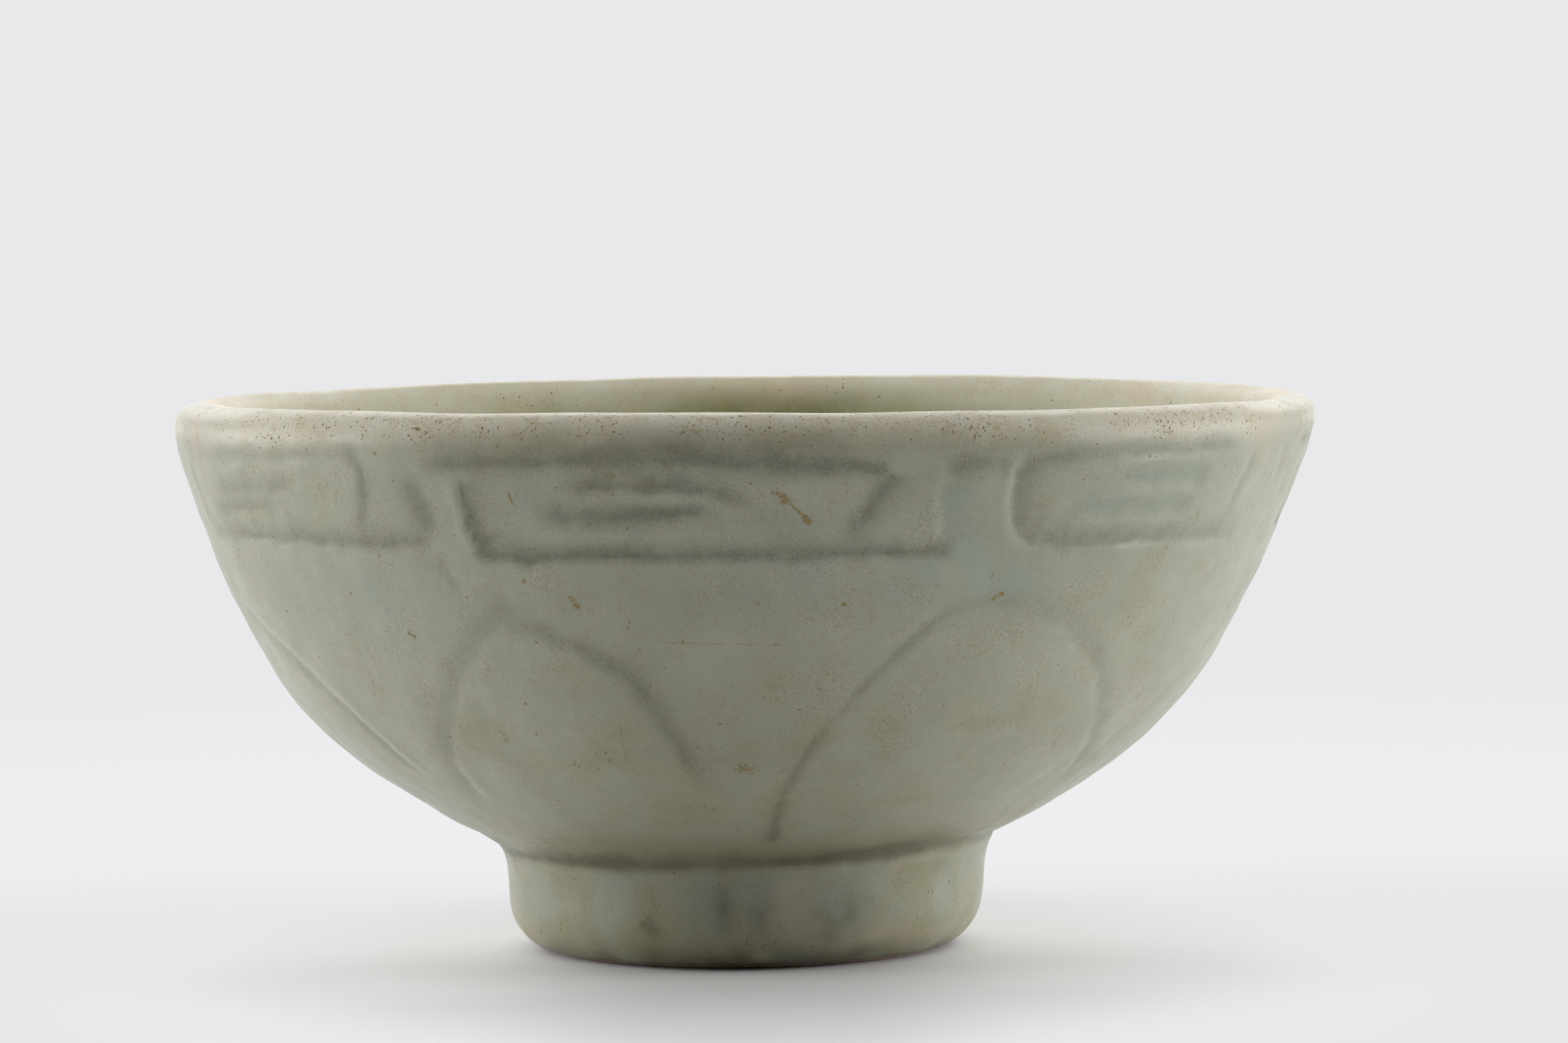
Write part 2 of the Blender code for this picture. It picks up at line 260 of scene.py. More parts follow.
def carve(phi, s, rad):
    """Depth, pooled glaze, raised edge and blue tint of the carving at grid points."""
    depth, pool, ridge, blue = (np.zeros(phi.shape) for _ in range(4))
    flat = np.stack([rad * np.cos(np.radians(phi)), rad * np.sin(np.radians(phi)), s], -1)
    wob = waves(flat, 5.0, 51) + 0.8 * waves(flat, 2.6, 52)
    for i, st in enumerate(STROKES):
        line, t = resample(st["pts"])
        wmax = st["w"] * max(st["left"], st["right"])
        reach = 2.9 * wmax * max(st["taper"]) + 1.5
        mid = (line[:, 0].min() + line[:, 0].max()) / 2
        rel = (phi - mid + 180.0) % 360.0 - 180.0
        half = (line[:, 0].max() - line[:, 0].min()) / 2
        near = (np.abs(rel) < half + np.degrees(reach / np.maximum(rad, 20))) & \
            (s > line[:, 1].min() - reach) & (s < line[:, 1].max() + reach)
        if not near.any():
            continue
        pa, ps, pr = rel[near], s[near], rad[near]
        x = np.radians(line[None, :, 0] - mid - pa[:, None]) * pr[:, None]
        y = line[None, :, 1] - ps[:, None]
        ax, ay, bx, by = x[:, :-1], y[:, :-1], x[:, 1:], y[:, 1:]
        ex, ey = bx - ax, by - ay
        u = np.clip(-(ax * ex + ay * ey) / np.maximum(ex * ex + ey * ey, 1e-9), 0, 1)
        cx, cy = ax + u * ex, ay + u * ey
        d2 = cx * cx + cy * cy
        j = np.argmin(d2, axis=1)
        k = np.arange(len(j))
        dist = np.sqrt(d2[k, j])
        side = ex[k, j] * (-cy[k, j]) - ey[k, j] * (-cx[k, j])       # > 0: left of the stroke
        along = t[j] + u[k, j] * (t[j + 1] - t[j])
        dist = np.abs(dist + 0.12 * wob[near])
        # the hand presses and lets go along the stroke
        rng = np.random.default_rng(100 + i)
        ph = rng.uniform(0, 6.28, 4)
        press = 1 + 0.10 * np.sin(along / 2.3 + ph[0]) + 0.10 * np.sin(along / 5.1 + ph[1])
        run = along / t[-1]
        width = st["w"] * (1 + 0.10 * np.sin(along / 3.1 + ph[2]) + 0.10 * np.sin(along / 7.0 + ph[3]))
        width = width * (st["taper"][0] + (st["taper"][1] - st["taper"][0]) * run)
        w = np.where(side > 0, width * st["left"], width * st["right"])
        f0, f1 = st["fade"]
        ends = np.clip(along / f0, 0, 1) * np.clip((t[-1] - along) / f1, 0, 1)
        ends = ends * ends * (3 - 2 * ends)
        g = np.exp(-(dist / w) ** 2) * ends
        soft = np.where(side > 0, st["left"], st["right"]) >= 1.0
        gp = np.exp(-(dist / (1.1 * w)) ** np.where(soft, 1.7, 2.4)) * ends
        gp = gp * (st["dim"][0] + (st["dim"][1] - st["dim"][0]) * run)
        dep = st["depth"] * press * g
        depth[near] = np.maximum(depth[near], dep) + 0.25 * np.minimum(depth[near], dep)
        pl = np.clip(st["dark"] * (0.9 + 0.5 * (press - 1)) * gp, 0, 1)
        pool[near] = 1 - (1 - pool[near]) * (1 - pl)
        if st["ridge"]:
            sd = np.where(side > 0, -dist, dist)                      # raised edge on the right-hand side
            rg = st["ridge"] * np.exp(-((sd - 1.5 * st["w"] * st["right"] - 0.6) / 0.75) ** 2) * ends
            ridge[near] = np.maximum(ridge[near], rg)
        if st["blue"]:
            bl = st["blue"] * np.exp(-(dist / (1.9 * w)) ** 2) * ends
            blue[near] = np.maximum(blue[near], bl)
    return depth, np.clip(pool, 0, 1), ridge, blue


# soft patches on the wall: angle, height, half size across and up in mm, strength
BLUE = [(-50, 52.5, 9, 4, 0.6), (-42, 49.5, 8, 5, 0.6), (-35, 51.5, 5, 3, 0.4), (-21, 60.5, 4, 4, 0.6), (21.0, 60.5, 5, 6, 0.7),
        (22.5, 53.5, 8, 5, 1.0), (30.0, 51.5, 7, 4, 0.7), (38.0, 53.5, 6, 3, 0.5), (43, 63.0, 9, 5, 0.5), (54, 58.0, 14, 9, 0.32), (60, 46.0, 10, 10, 0.28), (5.0, 53.0, 7, 3, 0.4),
        (120, 58, 9, 6, 0.7), (150, 52, 10, 5, 0.8), (196, 60, 8, 6, 0.7), (212, 50, 9, 5, 0.8), (262, 54, 9, 6, 0.7)]
OLIVE = [(-35, 33, 5, 4, 0.7), (-17, 30, 12, 6, 0.8), (0, 23, 24, 7, 0.8), (2, 33, 22, 6, 0.5), (2, 40, 9, 6, 0.4), (16, 28, 12, 5, 0.5), (35, 34, 10, 4, 0.7),
         (-17, 41, 4, 3, 0.6), (-10, 34, 3, 4, 0.4), (50, 46, 6, 8, 0.4), (-14, 69.4, 18, 1.6, 0.9), (8, 69.6, 16, 1.5, 1.0), (26, 69.6, 8, 1.6, 0.6), (-38, 69.6, 12, 1.6, 0.45), (-45, 69.5, 5, 2.5, 0.5),
         (30, 41, 8, 4, 0.1), (-60, 60.7, 8, 1.6, 0.7), (-46, 60.5, 4, 4, 0.45), (48, 61, 4, 5, 0.35), (-2, 62, 4, 3, 0.4), (2, 65, 28, 7, 0.15),
         (90, 30, 14, 6, 0.6), (128, 38, 9, 6, 0.5), (165, 28, 16, 7, 0.7), (205, 36, 9, 5, 0.5), (240, 26, 15, 6, 0.7), (275, 40, 8, 5, 0.5),
         (110, 69, 14, 2, 0.5), (180, 69, 18, 2, 0.6), (250, 69, 13, 2, 0.5)]
PINK = [(10.2, 9.6, 2.3, 2.6, 0.9), (10.8, 6.6, 3.2, 2.6, 1.0), (-66, 12.4, 2.0, 1.2, 0.9), (36, 12.6, 1.6, 0.7, 0.6), (36, 3.6, 7, 2.0, 0.55), (52, 3.0, 6, 1.6, 0.5), (-69, 70.0, 3, 4, 0.8), (62, 70.5, 5, 4, 0.6),
        (118, 7.5, 4, 4, 0.6), (205, 9, 3, 4, 0.6), (285, 4, 6, 2, 0.5)]
MURK = [(-24.8, 6.1, 0.75, 0.65, 1.0), (-23.4, 6.4, 0.9, 0.8, 0.8), (-22.4, 5.2, 1.5, 0.7, 0.5), (-5.0, 8.6, 1.6, 3.4, 0.55), (2.4, 7.0, 1.6, 2.6, 0.5), (19.5, 6.2, 2.8, 2.6, 0.65), (24.5, 7.4, 3.0, 3.4, 0.5), (12.8, 9.8, 0.5, 0.35, 0.7),
        (140, 6, 6, 4, 0.5), (230, 5, 7, 3, 0.5)]


# broad, faint painted shade under the lip and at its ends, across the carved band and on the front wall; in part also
# where the coat is thicker
PAINTED_SHADE = [(-6, 69.2, 27, 1.5, 0.42), (-8, 66.0, 19, 2.2, 0.22), (-8, 62.6, 12, 2.6, 0.15), (2, 60.5, 7, 3, 0.20), (-2, 50.5, 17, 3.5, 0.25), (0, 31, 18, 6, 0.22), (20, 66.5, 7, 3, 0.12),
         (25, 69.0, 9, 1.4, 0.18), (44, 62.4, 8, 3, 0.03), (-57, 61.8, 9, 2.5, 0.05), (-32, 62, 4, 5, 0.12), (-50, 69.5, 12, 1.3, 0.14),
         (-70, 71.0, 11, 2.6, 0.26), (70, 71.0, 11, 2.6, 0.18), (108, 69.7, 20, 1.5, 0.3), (140, 69.7, 25, 1.5, 0.3), (196, 69.7, 27, 1.5, 0.3), (250, 69.7, 27, 1.5, 0.3),
         (86, 62.6, 9, 2.3, 0.22), (147, 62.4, 8, 3, 0.14), (194, 62.6, 9, 2.3, 0.22), (252, 61.8, 9, 2.5, 0.16)]


def patches(items, phi, s, rad):
    out = np.zeros(phi.shape)
    for a, z, hw, hh, k in items:
        dx = np.radians((phi - a + 180) % 360 - 180) * rad
        dy = s - float(outside.s_of_z(z))
        out = np.maximum(out, k * np.exp(-((dx / hw) ** 2 + (dy / hh) ** 2)))
    return out


# brown marks and scratches: (angle, height) of each end, half width in mm, strength
MARKS = [
    ((3.0, 63.3), (3.9, 62.3), 0.50, 0.75), ((4.2, 62.0), (5.6, 60.6), 0.16, 0.8), ((5.6, 60.5), (6.1, 59.8), 0.26, 0.9), ((8.0, 61.1), (8.3, 60.3), 0.12, 0.5),
    ((-22.9, 63.4), (-22.5, 61.9), 0.17, 0.9), ((-38.6, 45.8), (-38.1, 45.4), 0.24, 0.9), ((-17.9, 50.5), (-17.2, 49.5), 0.28, 0.8), ((26.6, 49.3), (27.5, 49.9), 0.26, 0.8),
    ((25.6, 52.0), (25.9, 52.8), 0.20, 0.6), ((-0.1, 28.5), (0.8, 28.3), 0.75, 0.75), ((10.1, 49.6), (10.2, 49.5), 0.20, 0.9), ((12.8, 49.2), (13.3, 46.9), 0.30, 0.45),
    ((-11.9, 48.1), (-12.2, 46.8), 0.13, 0.7), ((-8.3, 45.0), (4.3, 44.5), 0.07, 0.65), ((-6.6, 45.2), (-6.5, 45.1), 0.16, 0.8), ((-19.8, 43.1), (-19.3, 42.2), 0.35, 0.4),
    ((-31.8, 34.5), (-30.9, 32.2), 0.60, 0.50), ((-24.1, 31.2), (-16.7, 29.3), 0.9, 0.30), ((-19.7, 42.0), (-18.7, 37.9), 0.8, 0.30), ((-4.2, 37.7), (-2.1, 34.8), 0.9, 0.26), ((26.7, 33.3), (35.2, 33.6), 0.9, 0.30), ((-14.9, 34.4), (-15.3, 29.2), 0.16, 0.55), ((-12.2, 31.3), (-12.1, 31.2), 0.16, 0.8), ((-5.8, 31.4), (-5.7, 31.3), 0.16, 0.8),
    ((0.9, 50.0), (1.4, 49.8), 0.20, 0.5), ((-4.8, 51.5), (-4.4, 49.4), 0.07, 0.5), ((-5.8, 24.6), (1.3, 25.6), 0.10, 0.3), ((-40.1, 34.1), (-42.0, 31.9), 0.22, 0.4),
    ((-34.6, 39.7), (-35.7, 36.8), 0.12, 0.45), ((8.9, 40.8), (9.6, 40.7), 0.12, 0.6), ((56.7, 32.7), (57.1, 35.5), 0.50, 0.35), ((45.4, 28.9), (45.0, 31.1), 0.30, 0.45),
    ((20.9, 31.5), (21.0, 31.4), 0.14, 0.7), ((12.6, 28.2), (12.7, 28.1), 0.16, 0.7), ((15.8, 25.9), (15.9, 25.8), 0.16, 0.6), ((13.3, 22.9), (13.4, 22.8), 0.16, 0.6),
    ((9.9, 34.6), (8.6, 31.6), 0.35, 0.45), ((42.1, 44.3), (42.5, 44.3), 0.16, 0.5), ((-32.1, 61.6), (-31.0, 61.4), 0.13, 0.6), ((-43.2, 63.3), (-43.9, 61.5), 0.22, 0.45),
    ((-37.3, 68.1), (-37.2, 68.0), 0.20, 0.8), ((-52.8, 48.9), (-52.5, 48.4), 0.40, 0.35), ((52.1, 57.9), (52.1, 58.9), 0.16, 0.6), ((48.3, 53.1), (48.8, 55.9), 0.12, 0.5),
    ((42.9, 66.5), (43.1, 66.4), 0.20, 0.7), ((53.8, 65.2), (54.0, 64.6), 0.30, 0.4), ((-14.3, 66.3), (-10.0, 64.6), 0.18, 0.45), ((-10.0, 64.6), (-7.6, 63.9), 0.12, 0.4),
    ((-32.3, 71.1), (-31.9, 71.0), 0.15, 0.9), ((-24.0, 47.2), (-21.0, 46.6), 0.14, 0.4), ((9.2, 44.7), (18.5, 48.2), 0.07, 0.35),
    ((100.0, 50.0), (101.5, 49.0), 0.3, 0.7), ((140.0, 40.0), (140.8, 38.6), 0.25, 0.6), ((172.0, 60.0), (173.6, 58.8), 0.28, 0.8), ((215.0, 47.0), (216.0, 46.4), 0.3, 0.7),
    ((250.0, 33.0), (251.2, 32.0), 0.3, 0.6), ((268.0, 58.0), (268.5, 56.6), 0.2, 0.7),
]
LAYERS = 4


def mark_layers(phi, s, rad):
    """Each mark's own coordinates on the wall, shared out over layers so that marks
    in one layer keep apart: (along, across, half length) and (half width, strength, inside)."""
    place_, shape_ = (np.zeros((LAYERS, *phi.shape, 3)) for _ in range(2))
    used = [[] for _ in range(LAYERS)]
    for (a0, z0), (a1, z1), w, k in MARKS:
        am = (a0 + a1) / 2
        s0, s1 = (float(outside.s_of_z(z)) for z in (z0, z1))
        sm = (s0 + s1) / 2
        r0 = float(np.interp(sm, outside.s, outside.r))
        ex, ey = math.radians(a1 - a0) * r0, s1 - s0
        length = max(math.hypot(ex, ey), 1e-6)
        ux, uy = (ex / length, ey / length) if length > 1e-3 else (1.0, 0.0)
        reach = length / 2 + w * 1.6 + 1.6
        layer = next((i for i in range(LAYERS)
                      if all(math.hypot(math.radians((am - b + 180) % 360 - 180) * r0, sm - c) > reach + e + 1.2
                             for b, c, e in used[i])), None)
        if layer is None:
            continue
        used[layer].append((am, sm, reach))
        dx = np.radians((phi - am + 180) % 360 - 180) * rad
        dy = s - sm
        m = np.hypot(dx, dy) < reach
        place_[layer][m] = np.stack([dx * ux + dy * uy, dy * ux - dx * uy, np.full(dx.shape, length / 2)], -1)[m]
        shape_[layer][m] = (w, k, 1.0)
    return place_, shape_


# ---------------------------------------------------------------------------
# meshes
# ---------------------------------------------------------------------------
def columns(fine, coarse, span=95.0):
    """Angles round the bowl, closer together on the front."""
    a = np.arange(-span, span, fine)
    n = int(round((360 - 2 * span) / coarse))
    return np.concatenate([a, span + (360 - 2 * span) * np.arange(n) / n])


def grid_mesh(name, rings, attrs, phi, closed, poles=(None, None), uv_rows=None):
    """Quads between rings of points; closed joins the last ring to the first.

    rings: (rows, columns, 3); poles: a single point under the first ring and
    after the last one, or None.
    """
    rows, cols = rings.shape[:2]
    verts = rings.reshape(-1, 3)
    idx = np.arange(rows * cols).reshape(rows, cols)
    nxt = np.roll(idx, -1, axis=1)
    a = idx if closed else idx[:-1]
    b = np.roll(idx, -1, axis=0) if closed else idx[1:]
    an = nxt if closed else nxt[:-1]
    bn = np.roll(nxt, -1, axis=0) if closed else nxt[1:]
    quads = np.stack([a, an, bn, b], -1).reshape(-1, 4)
    tris, extra = [], []
    for which, p in enumerate(poles):
        if p is None:
            continue
        v = rows * cols + len(extra)
        extra.append(p)
        ring, rn = (idx[0], nxt[0]) if which == 0 else (idx[-1], nxt[-1])
        t = np.stack([ring, np.full(cols, v), rn] if which == 0 else [ring, rn, np.full(cols, v)], -1)
        tris.append(t)
    if extra:
        verts = np.vstack([verts, np.array(extra)])
    tri = np.vstack(tris) if tris else np.zeros((0, 3), int)
    # outward: a positive volume
    q = verts
    vol = lambda f: np.einsum("ij,ij->i", q[f[:, 0]], np.cross(q[f[:, 1]], q[f[:, 2]])).sum()
    total = vol(quads[:, :3]) + vol(quads[:, [0, 2, 3]]) + (vol(tri) if len(tri) else 0)
    if total < 0:
        quads, tri = quads[:, ::-1], tri[:, ::-1]
    mesh = bpy.data.meshes.new(name)
    mesh.vertices.add(len(verts))
    mesh.vertices.foreach_set("co", verts.astype(np.float32).ravel())
    loops = np.concatenate([quads.ravel(), tri.ravel()]).astype(np.int32)
    sizes = np.concatenate([np.full(len(quads), 4), np.full(len(tri), 3)]).astype(np.int32)
    mesh.loops.add(len(loops))
    mesh.loops.foreach_set("vertex_index", loops)
    mesh.polygons.add(len(sizes))
    mesh.polygons.foreach_set("loop_start", np.concatenate([[0], np.cumsum(sizes)[:-1]]).astype(np.int32))
    mesh.update(calc_edges=True)
    mesh.validate()
    for key, val in attrs.items():
        v = np.asarray(val, float)
        wide = v.ndim == 2
        at = mesh.attributes.new(key, "FLOAT_VECTOR" if wide else "FLOAT", "POINT")
        at.data.foreach_set("vector" if wide else "value", v.astype(np.float32).ravel())
    # texture layout: the turn cut into four strips, two by two, rows up the strip
    if uv_rows is not None:
        v_of = np.concatenate([np.repeat(uv_rows, cols), np.full(len(extra), 0.0)])
        n = len(mesh.loops)
        vi = np.empty(n, np.int32)
        mesh.loops.foreach_get("vertex_index", vi)
        starts = np.repeat(np.concatenate([[0], np.cumsum(sizes)[:-1]]), sizes)
        ang = np.concatenate([np.tile((phi + 95.0) % 360.0, rows), np.zeros(len(extra))])
        fa = ang[vi]
        first = fa[starts]
        # a face that spans the start of the turn, or the pole
        fa = np.where(fa - first > 180, fa - 360, np.where(fa - first < -180, fa + 360, fa))
        cen = np.add.reduceat(fa, np.concatenate([[0], np.cumsum(sizes)[:-1]])) / sizes
        strip = np.clip(np.floor((cen % 360.0) / 90.0), 0, 3)
        strip_l = np.repeat(strip, sizes)
        loc = fa - strip_l * 90.0
        loc = np.where(loc > 225, loc - 360, loc)
        u = (strip_l % 2) * 0.5 + 0.012 + 0.476 * np.clip(loc, -2, 92) / 90.0
        vrow = v_of[vi]
        # a face that closes the last row to the first gets a row of its own above
        vfirst = np.repeat(np.maximum.reduceat(vrow, np.concatenate([[0], np.cumsum(sizes)[:-1]])), sizes)
        vrow = np.where(vfirst - vrow > 0.5, 1.0, vrow)
        v = np.floor(strip_l / 2) * 0.5 + 0.012 + 0.476 * vrow
        lay = mesh.uv_layers.new(name="OFBake")
        lay.data.foreach_set("uv", np.stack([u, v], -1).astype(np.float32).ravel())
    mesh.shade_smooth()
    mesh.set_sharp_from_angle(angle=math.radians(55))
    obj = bpy.data.objects.new(name, mesh)
    bpy.context.scene.collection.objects.link(obj)
    return obj


def spaced(stops):
    """Positions along a curve with a spacing given for each stretch."""
    out = [stops[0][0]]
    for (a, step), (b, _) in zip(stops, stops[1:]):
        n = max(1, int(round((b - a) / step)))
        out += list(a + (b - a) * np.arange(1, n + 1) / n)
    return np.array(out)


GLAZE = 0.6
UNDER = 0.3


def outer_coat():
    so = outside
    s_edge = float(so.s_of_z(0.5))
    s_foot, s_wall = float(so.s_of_z(17.0)), float(so.s_of_z(53.0))
    s_band, s_end = float(so.s_of_z(70.0)), so.length
    s_neck = float(so.s_of_z(11.0))
    rows_s = spaced([(s_edge, 0.80), (s_neck, 0.55), (s_foot, 0.82), (s_wall, 0.56), (s_band, 0.50), (s_end, 0)])
    phi = columns(0.5, 0.85)
    S, PHI = np.meshgrid(rows_s, phi, indexing="ij")
    R, Z, TR, TZ = so.at(S)
    base = place(R, PHI, Z) / MM
    depth, pool, ridge, blue = carve(PHI, S, R)
    # keep the coat's lower edge and the crest of the lip plain
    free = np.clip((S - s_edge) / 2.0, 0, 1) * np.clip((s_end - S) / 1.5, 0, 1)
    swell = 0.07 * waves(base, 26.0, 3) + 0.035 * waves(base, 11.0, 4) + 0.014 * waves(base * [1, 1, 2.2], 5.0, 5)
    rings_ = 0.022 * np.sin(S / 0.95 + 0.6 * waves(base, 40.0, 6)) * np.clip((Z - 15) / 6, 0, 1)
    turn = (PHI + 180.0) % 360.0 - 180.0
    round_ = lambda a, b: (lambda t: t * t * (3 - 2 * t))(np.clip((np.abs(turn) - a) / (b - a), 0, 1))
    calm = 1 - 0.75 * np.exp(-((np.abs(turn) - 88.0) / 9.0) ** 2)
    disp = np.maximum(((ridge - depth) * calm + swell + rings_) * free, -0.48)
    # outward normal of the turned surface
    th = np.radians(PHI - 90.0)
    nr, nz = TZ, -TR
    normal = np.stack([nr * np.cos(th), nr * np.sin(th), nz], -1)
    # the lower edge of the coat runs unevenly along the foot
    drip = np.clip(1 - (S - s_edge) / 4.0, 0, 1) * (0.22 * waves(base[..., :] * [1, 1, 0], 9.0, 8))
    S2 = np.clip(S + drip, s_edge - 0.12, s_end)
    R2, Z2, _, _ = so.at(S2)
    front = place(R2, PHI, Z2) / MM + normal * disp[..., None]
    # hidden side of the coat
    rows_b = spaced([(s_edge, 1.6), (s_neck, 1.1), (s_foot + 2.0, 6.5), (s_end - 9.0, 1.3), (s_end, 0)])[::-1]
    SB, PB = np.meshgrid(rows_b, phi, indexing="ij")
    RB, ZB, TRB, TZB = so.at(SB)
    thb = np.radians(PB - 90.0)
    nb = np.stack([TZB * np.cos(thb), TZB * np.sin(thb), -TRB], -1)
    back = place(RB, PB, ZB) / MM - nb * (GLAZE + 0.05)
    back[-1] += (front[0] - place(R, PHI, Z)[0] / MM) * 0.8
    rings = np.concatenate([front, back]) * MM

    low = 69.3 - (1.5 - 0.8 * round_(80.0, 110.0)) * np.clip((np.abs(turn + 6.0) - 22.0) / 25.0, 0, 1)
    lip = np.clip((Z - low + 0.24 * waves(base, 9.0, 11) + 0.6) / 3.2, 0, 1)
    # painted shade: the pale lip dulled from about 50 to 120 degrees either side of the front
    lip = lip * lip * (3 - 2 * lip) * (1 - 0.62 * round_(48.0, 73.0) * (1 - round_(85.0, 120.0)))
    olive = np.clip(patches(OLIVE, PHI, S, R) * (0.75 + 0.35 * waves(base, 6.0, 12)), 0, 1)
    blues = np.clip(np.maximum(blue, patches(BLUE, PHI, S, R) * (0.75 + 0.4 * waves(base, 5.0, 13))), 0, 1)
    pink = np.clip(patches(PINK, PHI, S, R) * (0.85 + 0.25 * waves(base, 3.5, 14)), 0, 1)
    dirt_and_painted_shade = np.clip(patches(MURK, PHI, S, R) * (0.9 + 0.2 * waves(base, 3.0, 15)), 0, 1)
    # glaze pooled in the corner between wall and foot, with painted shade in that crease
    side = np.clip((turn + 2.0) / 38.0, 0, 1) * (1 - round_(60.0, 120.0))
    seam_z = 13.95 + 1.0 * side * side * (3 - 2 * side) + 0.16 * waves(base * [1, 1, 0], 18.0, 16)
    seam_w = np.clip(0.92 + 0.14 * waves(base * [1, 1, 0], 14.0, 19), 0.6, 1.3)
    seam = np.exp(-np.abs((Z - seam_z) / np.where(Z > seam_z, 1.25, 0.85) / seam_w) ** 1.9)
    seam = seam * np.clip(0.88 + 0.16 * waves(base * [1, 1, 0], 22.0, 17) - 0.25 * side, 0.35, 1)
    pool = 1 - (1 - pool) * (1 - 0.98 * np.clip(seam, 0, 1))
    # painted shade: the wall just above the seam darker and more olive, as shade in the concave corner
    above = np.clip(Z - seam_z, 0, None)
    pool = 1 - (1 - pool) * (1 - 0.30 * np.exp(-(above / 3.0) ** 2) * (Z > seam_z))
    olive = np.maximum(olive, 0.75 * np.exp(-(above / 5.0) ** 2) * (Z > seam_z - 1.0) * (1 - round_(45.0, 85.0)))
    dirt_and_painted_shade = np.maximum(dirt_and_painted_shade, 0.88 * seam * (0.8 + 0.3 * waves(base, 4.0, 20)))
    # the foot: greyer and bluer above, olive and stained towards the table, in upright patches, with painted shadow
    # along the table
    on_foot = np.clip((14.0 - Z) / 1.5, 0, 1)
    drift = waves(base * [1, 1, 0.45], 8.0, 26) + 0.6 * waves(base * [1, 1, 0.6], 3.6, 27)
    blues = np.maximum(blues, on_foot * np.clip(0.10 + 0.20 * drift, 0, 0.5) * np.clip((Z - 3.5) / 3.0, 0, 1))
    olive = np.maximum(olive, on_foot * np.clip(0.30 - 0.22 * drift + 0.35 * np.clip((6.5 - Z) / 3.0, 0, 1), 0, 1))
    # painted shadow: near black along the table, strongest at the front
    dirt_and_painted_shade = np.maximum(dirt_and_painted_shade, np.clip((0.66 + 0.55 * np.exp(-((PHI - 2.0) / 34.0) ** 2)) * np.exp(-((Z - 0.5) / (1.9 + 0.35 * np.exp(-((PHI - 2.0) / 30.0) ** 2))) ** 2) * (0.85 + 0.25 * waves(base, 5.0, 28)), 0, 1))
    # painted shade: the crest of the lip darker round the back, and the lip darker near the silhouettes
    dirt_and_painted_shade = np.maximum(dirt_and_painted_shade, 0.30 * np.exp(-((Z - 72.8) / 0.6) ** 2) * np.clip((np.abs((PHI + 180) % 360 - 180) - 80.0) / 25.0, 0, 1))
    dirt_and_painted_shade = np.maximum(dirt_and_painted_shade, 0.13 * np.exp(-((np.abs((PHI + 180) % 360 - 180) - 86.0) / 22.0) ** 2) * np.clip((Z - 65.0) / 5.0, 0, 1))
    # painted shade on the foot, more on its right side
    pool = 1 - (1 - pool) * (1 - on_foot * (0.15 + 0.10 * np.clip(np.sin(np.radians(PHI)), -0.6, 1)))
    # painted shade from the patches above, carried in the pool mask
    pool = 1 - (1 - pool) * (1 - np.clip(patches(PAINTED_SHADE, PHI, S, R) * (1 + 0.12 * waves(base, 8.0, 18)), 0, 0.6))
    bare = np.clip(1 - (S2 - s_edge + 0.12) / 0.5, 0, 1)
    n_b = len(rows_b) * len(phi)
    attrs = {k: np.concatenate([v.ravel(), np.zeros(n_b)]) for k, v in
             dict(pool=pool, lip=lip, olive=olive, blue=blues, pink=pink, dirt_and_painted_shade=dirt_and_painted_shade, bare=bare, thin=np.clip(ridge / 0.12, 0, 1)).items()}
    at, sh = mark_layers(PHI, S, R)
    for i in range(LAYERS):
        attrs["mark_at_%d" % i] = np.concatenate([at[i].reshape(-1, 3), np.zeros((n_b, 3))])
        attrs["mark_in_%d" % i] = np.concatenate([sh[i].reshape(-1, 3), np.zeros((n_b, 3))])
    vrow = np.concatenate([0.90 * (rows_s - s_edge) / (s_end - s_edge), 0.92 + 0.06 * np.arange(len(rows_b)) / len(rows_b)])
    obj = grid_mesh("glaze_outside", rings, attrs, phi, True, uv_rows=vrow)
    return obj


def inner_coat():
    si = inside
    s_end = si.length
    rows_s = spaced([(0.0, 0.5), (5.0, 0.9), (s_end - 26.0, 0.9), (s_end - 0.8, 0)])
    phi = columns(0.75, 0.75, 96.0)
    S, PHI = np.meshgrid(rows_s, phi, indexing="ij")
    R, Z, TR, TZ = si.at(S)
    base = place(R, PHI, Z) / MM
    free = np.clip(S / 1.5, 0, 1)
    th = np.radians(PHI - 90.0)
    normal = np.stack([TZ * np.cos(th), TZ * np.sin(th), -TR], -1)
    swell = 0.07 * waves(base, 28.0, 23) + 0.03 * waves(base, 10.0, 24)
    turn = 0.05 * np.sin((S + PHI / 360.0 * 5.2) / 5.2 * 2 * math.pi) * np.clip((S - 12) / 10, 0, 1) * np.clip(R / 15.0, 0, 1)
    well = -0.30 * np.exp(-((R - 27.0) / 1.1) ** 2)
    front = base + normal * ((swell + turn + well) * free)[..., None]
    rows_b = spaced([(0.0, 6.0), (s_end - 0.8, 0)])[::-1]
    SB, PB = np.meshgrid(rows_b, phi, indexing="ij")
    RB, ZB, TRB, TZB = si.at(SB)
    thb = np.radians(PB - 90.0)
    nb = np.stack([TZB * np.cos(thb), TZB * np.sin(thb), -TRB], -1)
    back = place(RB, PB, ZB) / MM - nb * (GLAZE + 0.05)
    return front, back, S, R, Z, PHI, base, rows_s, rows_b, phi


